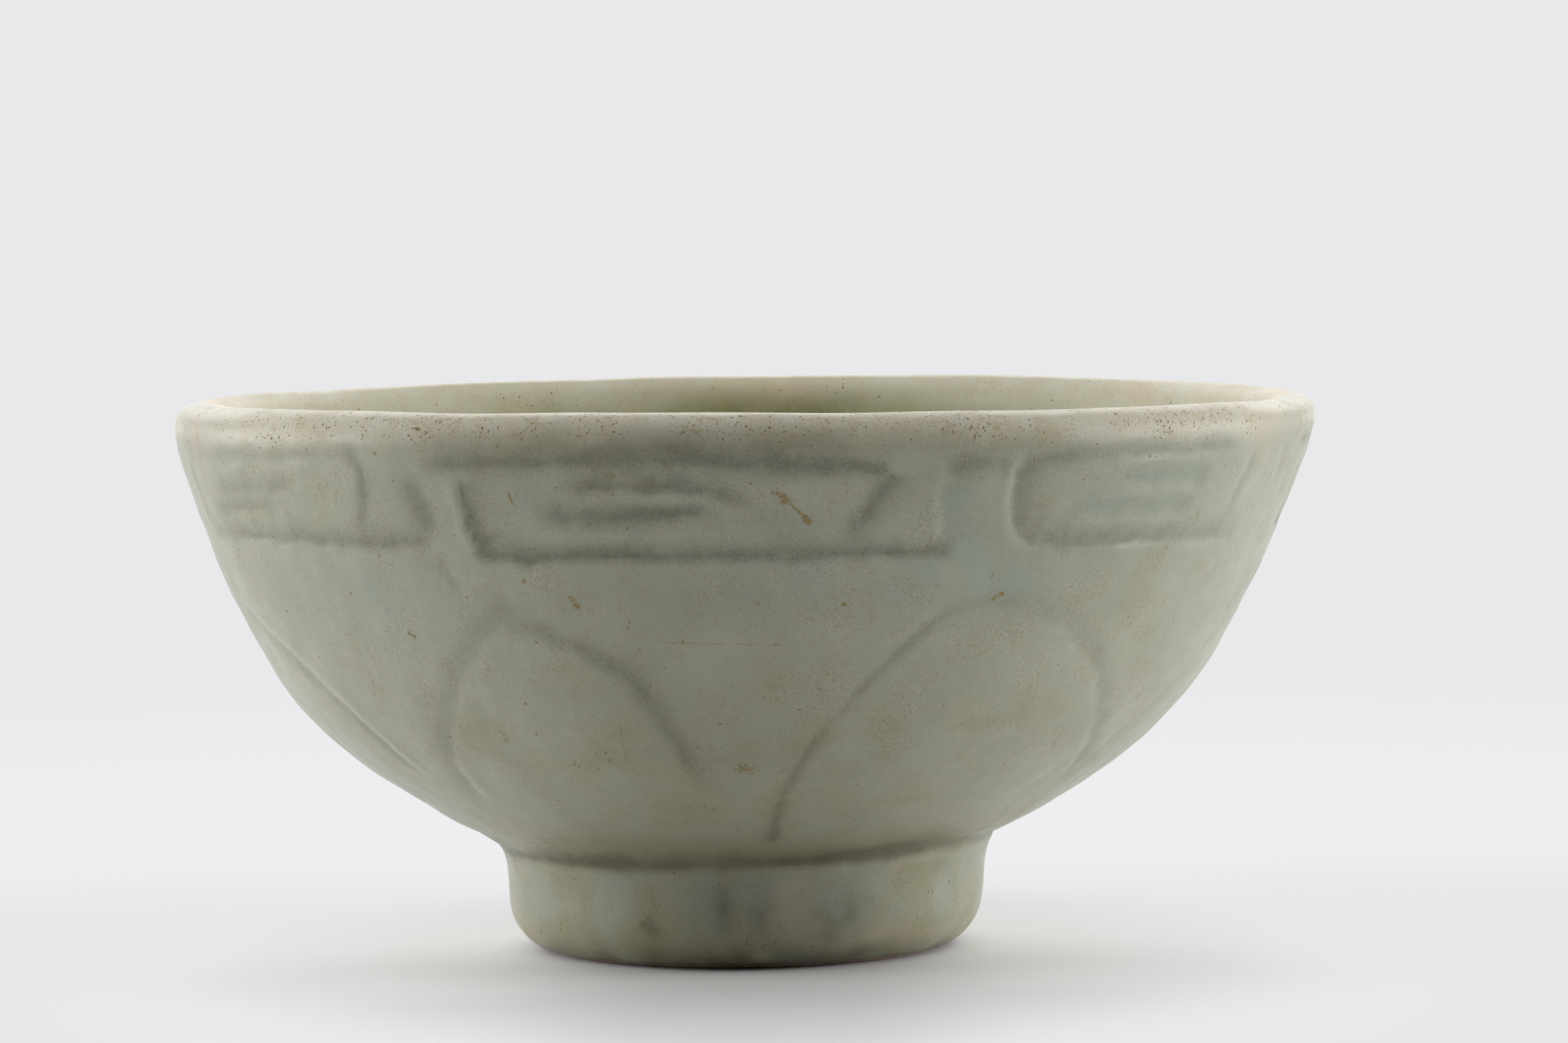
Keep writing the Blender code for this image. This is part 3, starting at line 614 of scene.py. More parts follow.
def build_inner():
    front, back, S, R, Z, PHI, base, rows_s, rows_b, phi = inner_coat()
    # two bowls of points, the seen one and the hidden one, closed at the lip and in the middle
    lip = np.clip((Z - 66.8 + 0.45 * waves(base, 9.0, 11)) / 3.6, 0, 1)
    lip = lip * lip * (3 - 2 * lip)
    pool = np.clip(0.50 * np.exp(-((R - 27.0) / 1.3) ** 2) * (0.8 + 0.2 * waves(base, 12.0, 31)) + 0.16 * np.clip((36 - Z) / 16, 0, 1), 0, 1)
    olive = np.clip(0.20 + 0.22 * waves(base, 24.0, 32) + 0.2 * np.clip((40 - Z) / 20, 0, 1), 0, 1)
    # painted shade with an olive tint on the inner back wall facing the camera: darker, more olive, less pale lip
    glow = np.exp(-((PHI - 176.0) / 15.0) ** 2) * np.clip((Z - 52.0) / 13.0, 0, 1) ** 1.5
    olive = np.maximum(olive, glow * (1.0 + 0.15 * waves(base, 6.0, 35))).clip(0, 1) * (1 - 0.42 * lip)
    lip = lip * (1 - 0.78 * glow * np.clip((71.4 - Z) / 2.0, 0, 1))
    pool = np.clip(pool + 0.56 * glow * (1 - 0.5 * lip), 0, 1)
    blue = np.clip(0.30 * waves(base, 17.0, 33), 0, 1) * (1 - lip)
    pink = np.clip(0.5 * waves(base, 13.0, 34) - 0.35, 0, 1) * lip
    # pink tint and painted shade: the inner lip pinker and darker towards its ends, more on the right, and its crest
    # darker round the back
    ends = np.exp(-((np.abs((PHI + 180) % 360 - 180) - 88.0) / 24.0) ** 2) * np.clip((Z - 64.0) / 5.0, 0, 1)
    pink = np.maximum(pink, 0.55 * ends)
    zero = np.zeros_like(pool)
    dirt_and_painted_shade = 0.30 * np.exp(-((Z - 72.8) / 0.6) ** 2) * np.clip((np.abs((PHI + 180) % 360 - 180) - 80.0) / 25.0, 0, 1)
    dirt_and_painted_shade = np.maximum(dirt_and_painted_shade, 0.20 * ends * (0.55 + 0.45 * np.sin(np.radians(PHI))))
    floor_c = front[-1].mean(axis=0)
    hid_c = back[0].mean(axis=0)
    rows, cols = front.shape[:2]
    seen = front.reshape(-1, 3)
    hid = back.reshape(-1, 3)
    verts = np.vstack([seen, hid, [floor_c], [hid_c]]) * MM
    idx = np.arange(rows * cols).reshape(rows, cols)
    hb = rows * cols + np.arange(len(rows_b) * cols).reshape(len(rows_b), cols)
    faces_rows = []

    def band(a, b):
        an, bn = np.roll(a, -1), np.roll(b, -1)
        faces_rows.append(np.stack([a, b, bn, an], -1))
    for i in range(rows - 1):
        band(idx[i], idx[i + 1])
    for i in range(len(rows_b) - 1):
        band(hb[i], hb[i + 1])
    band(hb[-1], idx[0])
    quads = np.vstack(faces_rows)
    c0 = len(verts) - 2
    t1 = np.stack([idx[-1], np.full(cols, c0), np.roll(idx[-1], -1)], -1)
    t2 = np.stack([hb[0], np.roll(hb[0], -1), np.full(cols, c0 + 1)], -1)
    tri = np.vstack([t1, t2])
    vol = lambda f: np.einsum("ij,ij->i", verts[f[:, 0]], np.cross(verts[f[:, 1]], verts[f[:, 2]])).sum()
    if vol(quads[:, :3]) + vol(quads[:, [0, 2, 3]]) + vol(tri) < 0:
        quads, tri = quads[:, ::-1], tri[:, ::-1]
    name = "glaze_inside"
    mesh = bpy.data.meshes.new(name)
    mesh.from_pydata(verts.tolist(), [], quads.tolist() + tri.tolist())
    mesh.update()
    n_h = len(hid) + 2
    for key, val in dict(pool=pool, lip=lip, olive=olive, blue=blue, pink=pink, dirt_and_painted_shade=dirt_and_painted_shade, bare=zero, thin=zero).items():
        v = np.concatenate([val.ravel(), np.full(n_h, float(val[-1].mean()))])
        at = mesh.attributes.new(key, "FLOAT", "POINT")
        at.data.foreach_set("value", v.astype(np.float32))
    # texture layout: the seen side flattened to a disc, the hidden side to a small one
    ang = np.radians(np.concatenate([np.tile(phi, rows), np.tile(phi, len(rows_b)), [0, 0]]))
    rad = np.concatenate([np.repeat(0.5 - 0.012 - 0.475 * rows_s / inside.length, cols),
                          np.repeat(0.5 - 0.012 - 0.475 * rows_b / inside.length, cols), [0, 0]])
    hidden = np.concatenate([np.zeros(len(seen)), np.ones(len(hid)), [0, 1]])
    u = np.where(hidden > 0, 0.935 + rad * 0.12, 0.44 + rad * 0.86 * np.sin(ang))
    v = np.where(hidden > 0, 0.935 + 0 * rad, 0.44 - rad * 0.86 * np.cos(ang))
    u = np.where(hidden > 0, 0.935 + rad * 0.12 * np.sin(ang), u)
    v = np.where(hidden > 0, 0.935 - rad * 0.12 * np.cos(ang), v)
    vi = np.empty(len(mesh.loops), np.int32)
    mesh.loops.foreach_get("vertex_index", vi)
    # the faces that close the lip lie just outside the disc
    uv = np.stack([u[vi], v[vi]], -1)
    sizes = np.empty(len(mesh.polygons), np.int32)
    mesh.polygons.foreach_get("loop_total", sizes)
    starts = np.concatenate([[0], np.cumsum(sizes)[:-1]])
    hmax = np.maximum.reduceat(hidden[vi], starts)
    hmin = np.minimum.reduceat(hidden[vi], starts)
    mixed = np.repeat((hmax > 0.5) & (hmin < 0.5), sizes) & (hidden[vi] > 0.5)
    la = ang[vi]
    uv[mixed, 0] = 0.44 + 0.495 * 0.86 * np.sin(la[mixed])
    uv[mixed, 1] = 0.44 - 0.495 * 0.86 * np.cos(la[mixed])
    mesh.uv_layers.new(name="OFBake").data.foreach_set("uv", uv.astype(np.float32).ravel())
    mesh.shade_smooth()
    mesh.set_sharp_from_angle(angle=math.radians(55))
    obj = bpy.data.objects.new(name, mesh)
    bpy.context.scene.collection.objects.link(obj)
    return obj


def turned(name, loop, cols, attrs_fn=None, rough=0.0, seed=0):
    """A closed piece turned from a loop of (radius, height) points, a little uneven."""
    phi = np.linspace(-180, 180, cols, endpoint=False)
    loop = np.array(loop, float)
    rows = len(loop)
    R, PHI = np.meshgrid(loop[:, 0], phi, indexing="ij")
    Z, _ = np.meshgrid(loop[:, 1], phi, indexing="ij")
    p = place(R, PHI, Z) / MM
    if rough:
        p = p + rough * waves(p, 4.0, seed)[..., None] * np.stack(
            [np.cos(np.radians(PHI - 90)), np.sin(np.radians(PHI - 90)), 0 * PHI], -1) * (Z[..., None] > 0.02)
    return p * MM, phi


def densify(pts, step):
    out = [pts[0]]
    for a, b in zip(pts, pts[1:]):
        n = max(1, int(math.ceil(math.dist(a, b) / step)))
        out += [tuple(a[i] + (b[i] - a[i]) * k / n for i in (0, 1)) for k in range(1, n + 1)]
    return out


def off(profile, s, d):
    r, z, tr, tz = profile.at(s)
    return float(r - tz * d), float(z + tr * d)


def clay_body():
    """The thrown wall and floor under the coats; its base shows inside the foot."""
    d = GLAZE + UNDER
    so, si = outside, inside
    base = densify([(0.35, 9.0), (12.0, 9.05), (19.2, 9.2), (19.7, 9.6), (19.7, 14.35), (30.9, 14.35)], 1.2)
    wall = [off(so, s, d) for s in np.linspace(float(so.s_of_z(15.4)), so.length - 0.4, 34)]
    inner = [off(si, s, d) for s in np.linspace(0.4, si.length - 0.6, 30)]
    loop = base + wall + inner
    pts, phi = turned("body", loop, 160)
    top = np.array([0.0, 0.0, inner[-1][1] * MM])
    bot = np.array([0.0, 0.0, 9.0 * MM])
    rows_v = np.linspace(0.02, 0.97, len(loop))
    obj = grid_mesh("stoneware_body", pts, {}, phi, False, poles=(bot, top), uv_rows=rows_v)
    return obj


def clay_foot():
    """The bare foot ring: rounded where it meets the table, scraped inside."""
    d = GLAZE + UNDER
    so = outside
    outer = [off(so, s, d) for s in np.linspace(float(so.s_of_z(2.4)), float(so.s_of_z(13.0)), 16)]
    tip = [(20.9, 0.55), (21.4, 0.12), (22.0, 0.0), (23.4, 0.0), (24.8, 0.0), (25.5, 0.0), (26.1, 0.08), (26.6, 0.22), (26.85, 0.31), (26.9, 1.35)]
    loop = densify(tip, 0.5) + outer + [(30.9, 14.05)] + densify([(30.9, 14.05), (20.1, 14.05)], 2.5)[1:] + \
        densify([(20.1, 14.05), (20.25, 9.0), (20.45, 2.0), (20.7, 1.0)], 0.9)[1:]
    pts, phi = turned("foot", loop, 240, rough=0.035, seed=41)
    rows_v = np.linspace(0.02, 0.93, len(loop))
    obj = grid_mesh("foot_ring_bare", pts, {}, phi, True, uv_rows=rows_v)
    return obj


# ---------------------------------------------------------------------------
# materials
# ---------------------------------------------------------------------------
class Nodes:
    """Short hand for building a node material."""

    def __init__(self, name):
        self.mat = bpy.data.materials.new(name)
        self.mat.use_nodes = True
        self.t = self.mat.node_tree
        self.bsdf = self.t.nodes["Principled BSDF"]
        self.coord = self.t.nodes.new("ShaderNodeTexCoord").outputs["Object"]

    def node(self, kind, **props):
        n = self.t.nodes.new(kind)
        for k, v in props.items():
            setattr(n, k, v)
        return n

    def put(self, sock, val):
        if isinstance(val, bpy.types.NodeSocket):
            self.t.links.new(val, sock)
        else:
            sock.default_value = val

    def attr(self, name):
        return self.node("ShaderNodeAttribute", attribute_name=name, attribute_type="GEOMETRY").outputs["Fac"]

    def attr_vec(self, name):
        return self.node("ShaderNodeAttribute", attribute_name=name, attribute_type="GEOMETRY").outputs["Vector"]

    def split3(self, vec):
        n = self.node("ShaderNodeSeparateXYZ")
        self.put(n.inputs[0], vec)
        return n.outputs

    def math(self, op, a, b=0.0, c=0.0, clamp=False):
        n = self.node("ShaderNodeMath", operation=op, use_clamp=clamp)
        for s, v in zip(n.inputs, (a, b, c)):
            self.put(s, v)
        return n.outputs[0]

    def vmath(self, op, a, b=None, scale=None):
        n = self.node("ShaderNodeVectorMath", operation=op)
        self.put(n.inputs[0], a)
        if b is not None:
            self.put(n.inputs[1], b)
        if scale is not None:
            self.put(n.inputs["Scale"], scale)
        return n.outputs["Value"] if op in ("LENGTH", "DISTANCE", "DOT_PRODUCT") else n.outputs[0]

    def stretch(self, sx, sy, sz, move=(0, 0, 0)):
        n = self.node("ShaderNodeMapping")
        self.put(n.inputs["Vector"], self.coord)
        n.inputs["Location"].default_value = move
        n.inputs["Scale"].default_value = (sx, sy, sz)
        return n.outputs[0]

    def noise(self, scale, detail=2.0, rough=0.5, vec=None, distortion=0.0):
        n = self.node("ShaderNodeTexNoise")
        self.put(n.inputs["Vector"], vec if vec is not None else self.coord)
        n.inputs["Scale"].default_value = scale
        n.inputs["Detail"].default_value = detail
        n.inputs["Roughness"].default_value = rough
        n.inputs["Distortion"].default_value = distortion
        return n.outputs["Fac"]

    def voronoi(self, scale, vec=None, rand=1.0):
        n = self.node("ShaderNodeTexVoronoi", feature="F1")
        self.put(n.inputs["Vector"], vec if vec is not None else self.coord)
        n.inputs["Scale"].default_value = scale
        n.inputs["Randomness"].default_value = rand
        return n.outputs["Distance"], n.outputs["Color"]

    def remap(self, val, a, b, c=0.0, d=1.0, smooth=True):
        n = self.node("ShaderNodeMapRange", interpolation_type="SMOOTHSTEP" if smooth else "LINEAR", clamp=True)
        self.put(n.inputs["Value"], val)
        for k, v in (("From Min", a), ("From Max", b), ("To Min", c), ("To Max", d)):
            self.put(n.inputs[k], v)
        return n.outputs["Result"]

    def mix(self, fac, a, b, how="MIX"):
        n = self.node("ShaderNodeMix", data_type="RGBA", blend_type=how, clamp_factor=True)
        self.put(n.inputs[0], fac)
        for s, v in ((n.inputs[6], a), (n.inputs[7], b)):
            self.put(s, (*v, 1.0) if isinstance(v, tuple) and len(v) == 3 else v)
        return n.outputs[2]

    def split(self, col):
        n = self.node("ShaderNodeSeparateColor")
        self.put(n.inputs[0], col)
        return n.outputs

    def bump(self, height, dist, strength=1.0, normal=None):
        n = self.node("ShaderNodeBump")
        n.inputs["Strength"].default_value = strength
        n.inputs["Distance"].default_value = dist
        self.put(n.inputs["Height"], height)
        if normal is not None:
            self.put(n.inputs["Normal"], normal)
        return n.outputs["Normal"]


def glaze_material(name, seen_outside):
    m = Nodes(name)
    pool, lip, olive = m.attr("pool"), m.attr("lip"), m.attr("olive")
    blue, pink, dirt_and_painted_shade, bare = m.attr("blue"), m.attr("pink"), m.attr("dirt_and_painted_shade"), m.attr("bare")
    thin = m.attr("thin")

    # ground colour: grey-green, drifting slowly between two tones
    # the inside's tones painted 1.48 times lighter than the outside's, standing in for light on the inner wall
    light = 1.0 if seen_outside else 1.48
    tone = lambda r, g, b: (r * light, g * light, b * light)
    big = m.remap(m.noise(28.0, 3.0, 0.55), 0.35, 0.65)
    col = m.mix(big, tone(0.309, 0.312, 0.225), tone(0.357, 0.363, 0.276))
    mid = m.remap(m.noise(140.0, 4.0, 0.6), 0.3, 0.7)
    col = m.mix(m.math("MULTIPLY", mid, 0.29), col, tone(0.262, 0.258, 0.178))
    # runs: fine upright streaks left by the glaze as it flowed
    runs = m.remap(m.noise(1.0, 3.0, 0.6, vec=m.stretch(900, 900, 130)), 0.3, 0.7)
    col = m.mix(m.math("MULTIPLY", runs, 0.13), col, tone(0.215, 0.212, 0.155))
    thread = m.remap(m.noise(1.0, 2.0, 0.6, vec=m.stretch(2400, 2400, 300)), 0.45, 0.75)
    col = m.mix(m.math("MULTIPLY", thread, 0.10), col, tone(0.215, 0.212, 0.155))
    # tints
    crumb = m.noise(2700.0, 3.0, 0.62)
    weak, full = (0.42, 0.74) if seen_outside else (0.60, 0.92)
    olive_k = m.math("MULTIPLY", olive, m.remap(crumb, 0.30, 0.70, weak, full, smooth=False))
    col = m.mix(olive_k, col, tone(0.290, 0.262, 0.128) if seen_outside else tone(0.280, 0.252, 0.066))
    if seen_outside:
        freckle = m.math("MULTIPLY", m.remap(crumb, 0.50, 0.66), m.remap(m.noise(150.0, 4.0, 0.68), 0.45, 0.63))
        col = m.mix(m.math("MULTIPLY", freckle, 0.72), col, tone(0.252, 0.206, 0.086))
    col = m.mix(m.math("MULTIPLY", blue, 0.55), col, tone(0.262, 0.330, 0.276))
    # pooled glaze, and the painted shade carried in the same mask: darker, with a broken edge and dark grains in it
    brk = m.remap(m.noise(420.0, 3.0, 0.65), 0.25, 0.75, 0.68, 1.20, smooth=False)
    slow = m.remap(m.noise(85.0, 2.0, 0.5), 0.3, 0.7, 0.80, 1.12, smooth=False)
    deep = m.math("MULTIPLY", m.math("MULTIPLY", pool, brk), slow, clamp=True)
    frayed = m.math("ADD", pool, m.remap(m.noise(700.0, 3.0, 0.6), 0.25, 0.75, -0.22, 0.22, smooth=False))
    deep = m.math("MULTIPLY", m.math("ADD", deep, m.math("MULTIPLY", m.remap(frayed, 0.30, 0.95), 0.35)), 0.85, clamp=True)
    col = m.mix(m.math("MULTIPLY", deep, 0.94), col, tone(0.126, 0.127, 0.076))
    # paler on the raised edges of the cuts: thinner glaze, and a painted highlight
    col = m.mix(m.math("MULTIPLY", thin, 0.38), col, tone(0.46, 0.465, 0.38))
    grain = m.remap(m.noise(3600.0, 2.0, 0.6), 0.50, 0.68)
    grain_k = m.math("ADD", m.math("MULTIPLY", deep, 0.70), 0.15)
    col = m.mix(m.math("MULTIPLY", grain, grain_k), col, tone(0.125, 0.125, 0.100))
    pale = m.remap(m.noise(2900.0, 2.0, 0.6, vec=m.stretch(1, 1, 1, (0.31, 0.17, 0.05))), 0.58, 0.75)
    col = m.mix(m.math("MULTIPLY", pale, 0.16), col, tone(0.58, 0.58, 0.50))
    # thin glaze on the lip: pale and warm, breaking into the wall below; part of its paleness is painted light on the
    # lip's top
    warm = m.remap(m.noise(260.0, 4.0, 0.65), 0.38, 0.62)
    # the inside's lip painted 1.25 times lighter, standing in for light
    over = 1.0 if seen_outside else 1.25
    lipc = m.mix(warm, (0.503 * over, 0.494 * over, 0.404 * over), (0.490 * over, 0.450 * over, 0.347 * over))
    col = m.mix(m.math("MULTIPLY", lip, 0.86), col, lipc)
    col = m.mix(m.math("MULTIPLY", m.math("MULTIPLY", olive, lip), 0.50), col, (0.400 * over, 0.350 * over, 0.205 * over))
    col = m.mix(m.math("MULTIPLY", pink, 0.68), col, tone(0.430, 0.335, 0.252))
    # dark dirt, and painted shade along the table, in the seam and on the lip's crest and ends
    col = m.mix(m.math("MULTIPLY", dirt_and_painted_shade, 0.81), col, (0.098, 0.092, 0.052))
    # rust specks: many on the lip, few on the wall
    warp = m.node("ShaderNodeTexNoise")
    m.put(warp.inputs["Vector"], m.coord)
    warp.inputs["Scale"].default_value = 900.0
    warp.inputs["Detail"].default_value = 1.0
    bent = m.vmath("ADD", m.coord, m.vmath("SCALE", m.vmath("SUBTRACT", warp.outputs["Color"], (0.5, 0.5, 0.5)), scale=0.0007))
    clump = m.remap(m.noise(170.0, 3.0, 0.6), 0.36, 0.59)
    near_lip = m.math("MULTIPLY", m.math("MAXIMUM", m.remap(lip, 0.05, 0.6), m.math("MULTIPLY", m.remap(olive, 0.3, 0.9), 0.35)), clump)

    few = 1.0 if seen_outside else 0.10

    def specks(scale, lip_k, base_k, small, large, soft):
        dist, cell = m.voronoi(scale, vec=bent)
        pick = m.split(cell)
        chosen = m.math("LESS_THAN", pick[0], m.math("ADD", m.math("MULTIPLY", near_lip, lip_k * few), base_k * few))
        size = m.remap(pick[1], 0.0, 1.0, small, large, smooth=False)
        return m.math("MULTIPLY", m.remap(m.math("SUBTRACT", dist, size), -soft, soft, 1.0, 0.0), chosen)

    dot = specks(1750.0, 0.70, 0.012, 0.08, 0.29, 0.06)
    smear = m.math("MULTIPLY", m.remap(m.noise(1.0, 4.0, 0.7, vec=m.stretch(420, 420, 1000)), 0.50, 0.66), m.math("MULTIPLY", near_lip, few))
    col = m.mix(m.math("MULTIPLY", smear, m.remap(crumb, 0.36, 0.64, 0.12, 0.72, smooth=False)), col, (0.330, 0.255, 0.105))
    dust = m.math("MULTIPLY", m.remap(m.noise(2600.0, 2.0, 0.7), 0.50, 0.63), m.math("MULTIPLY", lip, m.remap(m.noise(75.0, 3.0, 0.6), 0.36, 0.60, 0.15, 1.0)))
    col = m.mix(m.math("MULTIPLY", dust, 0.50 if seen_outside else 0.20), col, (0.310, 0.210, 0.118))
    col = m.mix(m.math("MULTIPLY", dot, 0.76), col, (0.258, 0.150, 0.042))
    col = m.mix(m.math("MULTIPLY", specks(2600.0, 0.56, 0.018, 0.14, 0.32, 0.08), 0.62), col, (0.205, 0.138, 0.048))
    col = m.mix(m.math("MULTIPLY", specks(720.0, 0.12, 0.0012, 0.09, 0.22, 0.06), 0.70), col, (0.225, 0.140, 0.043))
    # scratches and spots
    if seen_outside:
        rag = m.remap(m.noise(900.0, 3.0, 0.65), 0.30, 0.70, -0.9, 0.9, smooth=False)
        total = None
        for i in range(LAYERS):
            at = m.split3(m.attr_vec("mark_at_%d" % i))
            sh = m.split3(m.attr_vec("mark_in_%d" % i))
            past = m.math("MAXIMUM", m.math("SUBTRACT", m.math("ABSOLUTE", at[0]), at[2]), 0.0)
            d = m.math("SQRT", m.math("ADD", m.math("MULTIPLY", past, past), m.math("MULTIPLY", at[1], at[1])))
            d = m.math("ADD", m.math("DIVIDE", d, m.math("MAXIMUM", sh[0], 0.02)), rag)
            mk = m.math("MULTIPLY", m.remap(d, 0.2, 2.1, 1.0, 0.0), sh[1])
            mk = m.math("MULTIPLY", mk, m.math("GREATER_THAN", sh[2], 0.995))
            total = mk if total is None else m.math("MAXIMUM", total, mk)
        grains = m.remap(m.math("ADD", crumb, m.math("MULTIPLY", total, 0.42)), 0.70, 0.84)
        stain = m.math("ADD", m.math("MULTIPLY", grains, m.math("MULTIPLY", m.remap(total, 0.05, 0.4), 0.85)), m.math("MULTIPLY", total, 0.30), clamp=True)
        col = m.mix(stain, col, (0.212, 0.154, 0.046))
        # the coat thins to bare, burnt clay at its lower edge, painted dark as shade where it meets the table
        col = m.mix(m.math("MULTIPLY", bare, 0.85), col, (0.120, 0.075, 0.045))
    m.put(m.bsdf.inputs["Base Color"], col)

    # satin, a little duller on the thin lip and where it is stained
    r = m.remap(m.noise(320.0, 3.0, 0.6), 0.3, 0.7, 0.29, 0.39)
    r = m.math("ADD", r, m.math("MULTIPLY", lip, 0.16))
    r = m.math("ADD", r, m.math("MULTIPLY", dot, 0.25), clamp=True)
    m.put(m.bsdf.inputs["Roughness"], r)
    m.bsdf.inputs["IOR"].default_value = 1.5
    m.put(m.bsdf.inputs["Specular IOR Level"], m.remap(lip, 0.0, 1.0, 0.52, 0.20))

    # orange-peel, fine grain and pits
    peel = m.noise(520.0, 2.0, 0.5)
    n1 = m.bump(peel, 0.00005, 0.7)
    fine = m.noise(2600.0, 2.0, 0.6)
    n2 = m.bump(fine, 0.000012, 0.8, n1)
    n3 = m.bump(m.math("MULTIPLY", dot, -1.0), 0.00012, 1.0, n2)
    m.put(m.bsdf.inputs["Normal"], n3)
    return m.mat


def clay_material(name, light, dark, burnt):
    """Bare stoneware: gritty, burnt reddish in patches, with iron specks."""
    m = Nodes(name)
    big = m.remap(m.noise(55.0, 4.0, 0.6), 0.35, 0.65)
    col = m.mix(big, light, dark)
    red = m.remap(m.noise(110.0, 3.0, 0.6, vec=m.stretch(1, 1, 1.6, (0.2, 0.4, 0.1))), 0.46, 0.62)
    col = m.mix(m.math("MULTIPLY", red, 0.65), col, burnt)
    grit = m.remap(m.noise(1500.0, 3.0, 0.65), 0.35, 0.7)
    col = m.mix(m.math("MULTIPLY", grit, 0.35), col, (0.62, 0.55, 0.45))
    d, c = m.voronoi(900.0)
    iron = m.math("MULTIPLY", m.remap(d, 0.12, 0.26, 1.0, 0.0), m.math("LESS_THAN", m.split(c)[0], 0.10))
    col = m.mix(m.math("MULTIPLY", iron, 0.8), col, (0.07, 0.045, 0.03))
    turn = m.noise(1.0, 2.0, 0.5, vec=m.stretch(120, 120, 1600))
    m.put(m.bsdf.inputs["Base Color"], col)
    m.put(m.bsdf.inputs["Roughness"], m.remap(grit, 0.0, 1.0, 0.72, 0.92))
    n1 = m.bump(turn, 0.00010, 0.5)
    n2 = m.bump(grit, 0.00006, 0.7, n1)
    m.put(m.bsdf.inputs["Normal"], n2)
    return m.mat


def dress(obj, mat, slot, *nodes):
    obj.data.materials.append(mat)
    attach(obj, "root")
    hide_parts(*nodes)


dress(outer_coat(), glaze_material("celadon_outside_fired", True), "celadon_outside", "outer_glaze")
dress(build_inner(), glaze_material("celadon_inside_painted_lighter", False), "celadon_inside", "inner_glaze")
dress(clay_body(), clay_material("stoneware_fired", (0.46, 0.37, 0.29), (0.40, 0.30, 0.22), (0.42, 0.22, 0.12)), "stoneware", "bowl_body")
# the foot ring's clay darker than the body's: burnt, and painted shade where it meets the table
dress(clay_foot(), clay_material("stoneware_foot_burnt_and_shaded", (0.30, 0.20, 0.135), (0.20, 0.125, 0.08), (0.27, 0.135, 0.07)), "foot_stoneware", "foot_ring")


# ---------------------------------------------------------------------------
# studio
# ---------------------------------------------------------------------------
PAPER = (0.812, 0.812, 0.829)


